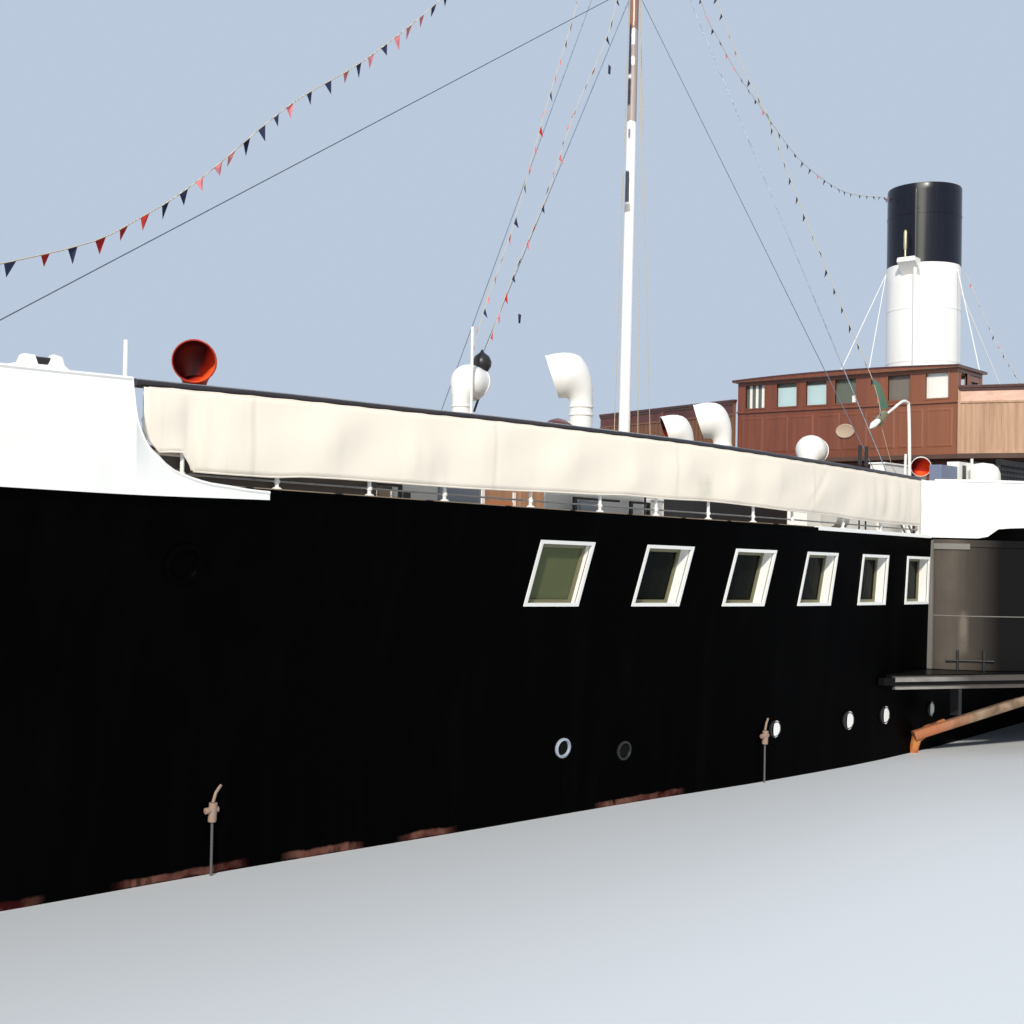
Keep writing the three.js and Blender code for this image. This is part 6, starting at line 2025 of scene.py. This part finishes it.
# The after rail round the stern
def make_after_rail():
    wood_rail, posts, rods = Build(), Build(), Build()
    port = []
    for x in span(-13.4, -30.9, 0.35):
        nx, ny = outward(x)
        port.append((edge(x, RAIL["inset"], 0.0), (nx, ny)))
    whole = port + [((p[0], -p[1], p[2]), (n[0], -n[1])) for p, n in reversed(port)]

    def lift(above):
        return [((x, y, z + above), n) for (x, y, z), n in whole]

    wood_rail.bar(lift(RAIL["high"]), OVAL)
    for above in (0.3, 0.55, 0.8):
        rods.tube([p for p, _ in lift(above)], 0.011, 6)
    for (x, y, z), _ in whole[::4]:
        posts.post(x, y, z + 0.03, z + 1.03, 0.022, 10)
        posts.lathe((x, y, z + 0.05), [(0.055, 0), (0.055, 0.012), (0.026, 0.03)], 12)
    top = wood_rail.piece("after_top_rail", RAIL_WOOD, "varnished_wood")
    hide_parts("after_rail")
    posts.piece("after_rail_posts", WHITE, "white_paint")
    rods.piece("after_rail_rods", STEEL, "wire")


# Lifeboats: clinker planked hulls under stretched covers
BOAT = {"x": -17.6, "y": 3.35, "half": 3.1, "beam": 0.95, "low": 4.05, "rail": 4.95}


def boat_half(s):
    return BOAT["beam"] * math.sqrt(max(0.0, 1 - abs(s) ** 2.4)) + 0.03


def boat_sheer(s):
    return BOAT["rail"] - 0.09 + 0.3 * s * s


def boat_point(s, side, out, above=0.0):
    """A point at a share s of the boat's half length, out from its middle and above its sheer."""
    return (BOAT["x"] + s * BOAT["half"], side * BOAT["y"] + out, boat_sheer(s) + above)


def make_lifeboats():
    for side, name in SIDES.items():
        shell, keel, trim = Build(), Build(), Build()
        shares = [-1 + 2 * i / 40 for i in range(41)]
        rings = []
        for s in shares:
            wide, top = boat_half(s), boat_sheer(s)
            low = BOAT["low"] + 0.3 * abs(s) ** 3
            ring = []
            for k in range(33):
                t = math.pi * k / 32
                step = 0.012 * ((k * 0.5) % 2 < 1)
                out = (wide + step) * math.copysign(abs(math.cos(t)) ** 0.8, math.cos(t))
                ring.append(boat_point(s, side, out, (low - top) * math.sin(t) ** 0.9))
            rings.append(ring)
        shell.rings(rings, closed=False, caps=False)
        hull = shell.piece(f"lifeboat_hull_{name}", WHITE, "canvas", angle=20)
        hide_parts(f"lifeboat_{name}")
        path = [(BOAT["x"] + s * (BOAT["half"] + 0.02), side * BOAT["y"],
                 BOAT["low"] - 0.03 + 0.3 * abs(s) ** 3) for s in shares]
        stern, bow = ((*path[i][:2], boat_sheer(1)) for i in (0, -1))
        keel.tube([stern, *path, bow], 0.035, 8)
        for dx in (-1.5, 1.5):
            y0, y1 = side * BOAT["y"] - 0.55, side * BOAT["y"] + 0.55
            x = BOAT["x"] + dx
            keel.box(x - 0.06, x + 0.06, y0, y1, deck_z(x) + 0.05, BOAT["low"] + 0.12)
        keel.piece(f"lifeboat_keel_{name}", RAIL_WOOD, "varnished_wood")
        for edge_side in (-1, 1):
            trim.tube([boat_point(s, side, edge_side * (boat_half(s) + 0.02)) for s in shares], 0.03, 8)
            trim.tube([boat_point(s, side, edge_side * (boat_half(s) + 0.035),
                                  -0.1 - 0.16 * abs(math.sin(i * math.pi / 5)))
                       for i, s in enumerate(shares)], 0.012, 5)
        trim.piece(f"lifeboat_gunwales_{name}", RAIL_WOOD, "varnished_wood")
        make_boat_cover(name, side, shares)


def make_boat_cover(name, side, shares):
    verts, faces = [], []
    across = 12
    for s in shares:
        for j in range(across + 1):
            v = -1 + 2 * j / across
            ridge = 0.26 * (1 - abs(v) ** 1.4) * (1 - 0.5 * s * s)
            crease = 0.008 * math.sin(s * 37) * (1 - v * v)
            skirt = -0.08 if abs(v) == 1 else 0.035
            verts.append(boat_point(s, side, v * (boat_half(s) + 0.045), ridge + crease + skirt))
    for i in range(len(shares) - 1):
        for j in range(across):
            a = i * (across + 1) + j
            faces.append((a, a + across + 1, a + across + 2, a + 1))
    cover = piece_from(f"lifeboat_cover_{name}", verts, faces, CANVAS)
    thick = cover.modifiers.new("cloth", "SOLIDIFY")
    thick.thickness = 0.003


# The companion aft, the skylight, the forward companion, benches and windlass
def make_companions():
    white, wood_parts, dark = Build(), Build(), Build()
    for side in SIDES:
        place = side_place(1.2, side)
        for x in (-23.6, -22.9, -22.2):
            u = -side * x
            window_trim(white, place, u - 0.2, u + 0.2, 4.7, 5.2, wide=0.04, out=0.02, inside=0.0)
            dark.add(rectangle(place, u - 0.2, u + 0.2, 4.7, 5.2, 0.006), QUAD)
        trim_box(white, place, *along_wall(side, -24.3, -21.5), 0.0, 0.03, 3.95, 4.1)
    back = back_place(-24.3)
    for u in (-0.42, 0.52):
        trim_box(wood_parts, back, u - 0.04, u + 0.04, 0.0, 0.03, 3.95, 5.34)
    trim_box(wood_parts, back, -0.46, 0.56, 0.0, 0.03, 5.3, 5.38)
    wood_parts.tube([(-24.42, -1.1, 4.9), (-24.42, -0.6, 4.9)], 0.02, 8)
    white.piece("companion_mouldings", WHITE, "white_paint", smooth=False)
    wood_parts.piece("companion_door_frame", VARNISH, "varnished_wood")
    dark.piece("companion_panes", DARK_PANE, "glass", smooth=False)


def make_skylights():
    """Three sloping panes on each side, in frames and behind guard bars."""
    glass, bars, frames = Build(), Build(), Build()
    slope = (4.75 - 4.3) / 0.9
    y0, y1 = 0.1, 0.8
    for side in SIDES:

        def on_slope(x, y, ridge):
            return (x, side * y, ridge - slope * y)

        for k in range(3):
            x0, x1 = -11.98 + 0.7 * k, -11.36 + 0.7 * k
            corners = [(x0, y0), (x1, y0), (x1, y1), (x0, y1)]
            glass.add([on_slope(x, y, 4.76) for x, y in corners], QUAD if side < 0 else turned_in(QUAD))
            for x in span(x0 + 0.06, x1 - 0.06, (x1 - x0 - 0.12) / 4):
                bars.tube([on_slope(x, y, 4.8) for y in (y0, y1)], 0.009, 6)
            for a, b in zip(corners, corners[1:] + corners[:1]):
                frames.tube([on_slope(*p, 4.765) for p in (a, b)], 0.025, 6)
    glass.piece("skylight_panes", DARK_PANE, "glass", smooth=False)
    bars.piece("skylight_guards", BRASS, "wire")
    frames.piece("skylight_frames", VARNISH, "varnished_wood")


FORE_COMPANION = {"x0": 13.34, "x1": 14.98, "y0": 0.72, "y1": 1.5, "foot": 3.9, "top": 4.7}


def make_fore_companion():
    """Panels, louvres and corner posts on the box over the forward stairs."""
    box = FORE_COMPANION
    panels, bright, white, louvres, brass = (Build() for _ in range(5))
    middle = box["x1"] - 0.75
    port = side_place(box["y1"], PORT)
    starboard = side_place(-box["y0"], STARBOARD)
    raised_panels(panels, port, -middle + 0.05, -box["x0"], box["foot"], box["top"], 1)
    raised_panels(panels, starboard, box["x0"], box["x1"], box["foot"], box["top"], 2)
    trim_box(bright, port, -box["x1"] + 0.08, -middle, 0.0, 0.012, box["foot"], box["foot"] + 0.2)
    trim_box(white, port, -box["x1"], -box["x1"] + 0.07, -0.02, 0.02, box["foot"], box["top"])
    trim_box(white, port, -middle - 0.03, -middle + 0.03, 0.0, 0.02, box["foot"], box["top"] - 0.45)
    ahead = front_place(box["x1"])
    for k in range(9):
        z = box["foot"] + 0.03 + 0.085 * k
        trim_box(louvres, ahead, box["y0"] + 0.06, box["y1"] - 0.08, 0.0, 0.02, z, z + 0.05)
    raised_panels(panels, back_place(box["x0"]), -box["y1"], -box["y0"], box["foot"], box["top"], 1)
    panels.piece("fore_companion_panels", COMPANION_WOOD, "varnished_wood", smooth=False)
    bright.piece("fore_companion_locker", ORANGE, "plain_timber", smooth=False)
    white.piece("fore_companion_posts", WHITE, "white_paint", smooth=False)
    louvres.piece("fore_companion_louvres", GREY, "white_paint", smooth=False)
    for y in (box["y0"] + 0.1, box["y1"] - 0.1):
        brass.tube([(x, y, box["top"] + 0.09) for x in (box["x1"] - 0.05, box["x0"] + 0.05)], 0.014, 8)
    brass.piece("fore_companion_slides", BRASS, "wire")


def make_benches():
    slats, legs = Build(), Build()
    for x0, x1 in ((14.9, 17.4), (-20.6, -18.2)):
        z = deck_z((x0 + x1) / 2)
        for side in SIDES:
            for k in range(4):
                y = 0.08 + k * 0.1
                slats.box(x0, x1, side * y, side * (y + 0.08), z + 0.425, z + 0.455)
            for k in range(4):
                y, low = 0.02 + 0.012 * k, z + 0.88 - k * 0.11
                slats.box(x0, x1, side * y, side * (y + 0.025), low, low + 0.08)
        for x in (x0 + 0.2, (x0 + x1) / 2, x1 - 0.2):
            for side in SIDES:
                legs.tube([(x, side * 0.4, z + 0.05), (x, side * 0.34, z + 0.25), (x, side * 0.4, z + 0.42),
                           (x, side * 0.1, z + 0.42), (x, side * 0.03, z + 0.95)], 0.022, 8)
    seats = slats.piece("bench_slats", BENCH_WOOD, "varnished_wood", smooth=False, bevel=0.008)
    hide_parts("bench_fore", "bench_after")
    legs.piece("bench_legs", BLACK, "black_iron")


def make_windlass():
    iron, wood_bed, chain = Build(), Build(), Build()
    x, z = 26.4, 4.75
    deck = deck_z(x) + 0.05
    barrel = [(0.05, -1.25), (0.24, -1.25), (0.25, -1.2), (0.19, -1.1), (0.18, -1.0), (0.24, -0.93),
              (0.25, -0.9), (0.14, -0.88), (0.14, -0.5), (0.3, -0.46), (0.3, -0.4), (0.24, -0.34),
              (0.23, 0.34), (0.3, 0.4), (0.3, 0.46), (0.14, 0.5), (0.14, 0.88), (0.25, 0.9),
              (0.24, 0.93), (0.18, 1.0), (0.19, 1.1), (0.25, 1.2), (0.24, 1.25), (0.05, 1.25)]
    iron.lathe((x, 0, z), barrel, 28, "Y")
    for y in (-0.65, 0.65):
        iron.rings([[(x + a, y + dy, b) for a, b in ((-0.42, deck), (0.42, deck), (0.24, z + 0.1),
                                                     (0.1, z + 0.22), (-0.1, z + 0.22), (-0.24, z + 0.1))]
                    for dy in (-0.06, 0.06)])
        iron.tube([(x - 0.3, y, z + 0.1), (x - 0.75, y, z + 0.62)], 0.02, 8)
    wood_bed.box(x - 0.6, x + 0.6, -0.95, 0.95, deck - 0.01, deck + 0.14)
    for y in (-0.2, 0.2):
        for k in range(34):
            at = x + 0.28 + k * 0.075
            height = max(deck + 0.035, z - 0.2 - k * 0.09)
            tilt = k % 2
            link = [(at + 0.06 * math.cos(t), y + tilt * 0.03 * math.sin(t),
                     height + (1 - tilt) * 0.03 * math.sin(t)) for t in (math.pi * i / 4 for i in range(9))]
            chain.tube(link, 0.013, 6)
    made = iron.piece("windlass_barrels", BLACK, "black_iron")
    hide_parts("windlass")
    wood_bed.piece("windlass_bed", GUARD_WOOD, "varnished_wood", smooth=False, bevel=0.015)
    chain.piece("anchor_chain", STEEL, "wire")


make_after_rail()
make_lifeboats()
make_companions()
make_skylights()
make_fore_companion()
make_benches()
make_windlass()


# Paddle wheels: rounded arms and rims on the solids, with bolts and tie rods
WHEEL_SIDES = (5.85, 7.6)  # y of each wheel's two frames
TIE_TWIST = 0.785  # how far a tie rod turns from one frame to the other, in radians
BOLT = [(0.004, -0.062), (0.035, -0.06), (0.035, 0.06), (0.004, 0.062)]
BOSS = [(0.2, -0.19), (0.36, -0.18), (0.38, -0.16), (0.38, 0.16), (0.36, 0.18), (0.2, 0.19)]


def make_wheel_details():
    for side, name in SIDES.items():
        bolts = Build()
        body = f"paddle_wheel_{name}"
        for k, (c, s) in enumerate(circle(8)):
            t = 2 * math.pi * k / 8
            for y in WHEEL_SIDES:
                for r in (1.92, 2.1, 2.3):
                    for dz in (-0.08, 0.08):
                        px = AXLE["x"] + r * c - dz * s
                        pz = AXLE["z"] + r * s + dz * c
                        bolts.lathe((px, side * y, pz), BOLT, 6, "Y")
            bolts.tube([(AXLE["x"] + 1.2 * math.cos(turn), side * y, AXLE["z"] + 1.2 * math.sin(turn))
                        for turn, y in zip((t, t + TIE_TWIST), WHEEL_SIDES)], 0.03, 8)
        for y in WHEEL_SIDES:
            bolts.lathe((AXLE["x"], side * y, AXLE["z"]), BOSS, 24, "Y")
        bolts.piece(f"paddle_wheel_fittings_{name}", WHEEL_RED, "red_paint", body)


make_wheel_details()

# The solids that stay in view take their finish here
CAD_FINISH = {  # node: its finish, and how much its edges are rounded
    "rudder": (HULL_BLACK, 0.01),
    "sponson_port": (SPONSON_BLACK, 0), "sponson_starboard": (SPONSON_BLACK, 0),
    "paddle_wheel_port": (WHEEL_RED, 0.008), "paddle_wheel_starboard": (WHEEL_RED, 0.008),
    "bridge_deck": (BRIDGE_PLANKS, 0.01), "helm_pedestal": (VARNISH, 0.012), "helm_wheel": (VARNISH, 0.01),
    "skylight": (VARNISH, 0.012), "companion": (WHITE, 0.02), "fore_companion": (COMPANION_WOOD, 0.015),
    "fore_hatch": (WHITE, 0.02), "boiler_casing": (BLACK, 0.01),
}


def finish_solids():
    for node, (finish, rounding) in CAD_FINISH.items():
        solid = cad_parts[node]
        solid.data.materials.clear()
        solid.data.materials.append(finish)
        if rounding:
            soften(solid, rounding)


finish_solids()


# The floor at the waterline, a pale backdrop and soft light
FLOOR_SIDE = 900
SKY_COLOR, SKY_STRENGTH = (0.66, 0.78, 0.95, 1), 0.75
LIGHTS = [  # name, energy, colour, place, turn in degrees and apparent size
    ("key", 3.6, (1.0, 0.94, 0.84), (30, 30, 30), (59, 0, 118), 0.06),
    ("fill", 0.5, (0.9, 0.95, 1.0), (-20, -20, 30), (50, 0, -60), 0.5),
]


def make_stage():
    bpy.ops.mesh.primitive_plane_add(size=FLOOR_SIDE, location=(0, 0, 0))
    floor = bpy.context.object
    floor.name = "floor"
    floor.data.materials.append(Shader("floor", (0.62, 0.64, 0.66), 0.6).material)
    world = bpy.data.worlds.new("studio")
    bpy.context.scene.world = world
    world.use_nodes = True
    sky = world.node_tree.nodes["Background"]
    sky.inputs["Color"].default_value = SKY_COLOR
    sky.inputs["Strength"].default_value = SKY_STRENGTH
    for name, energy, color, place, turn, size in LIGHTS:
        data = bpy.data.lights.new(name, "SUN")
        data.energy = energy
        data.color = color
        data.angle = size
        light = bpy.data.objects.new(name, data)
        light.rotation_euler = tuple(math.radians(a) for a in turn)
        light.location = place
        bpy.context.collection.objects.link(light)
    bpy.context.scene.view_settings.view_transform = "Standard"


make_stage()
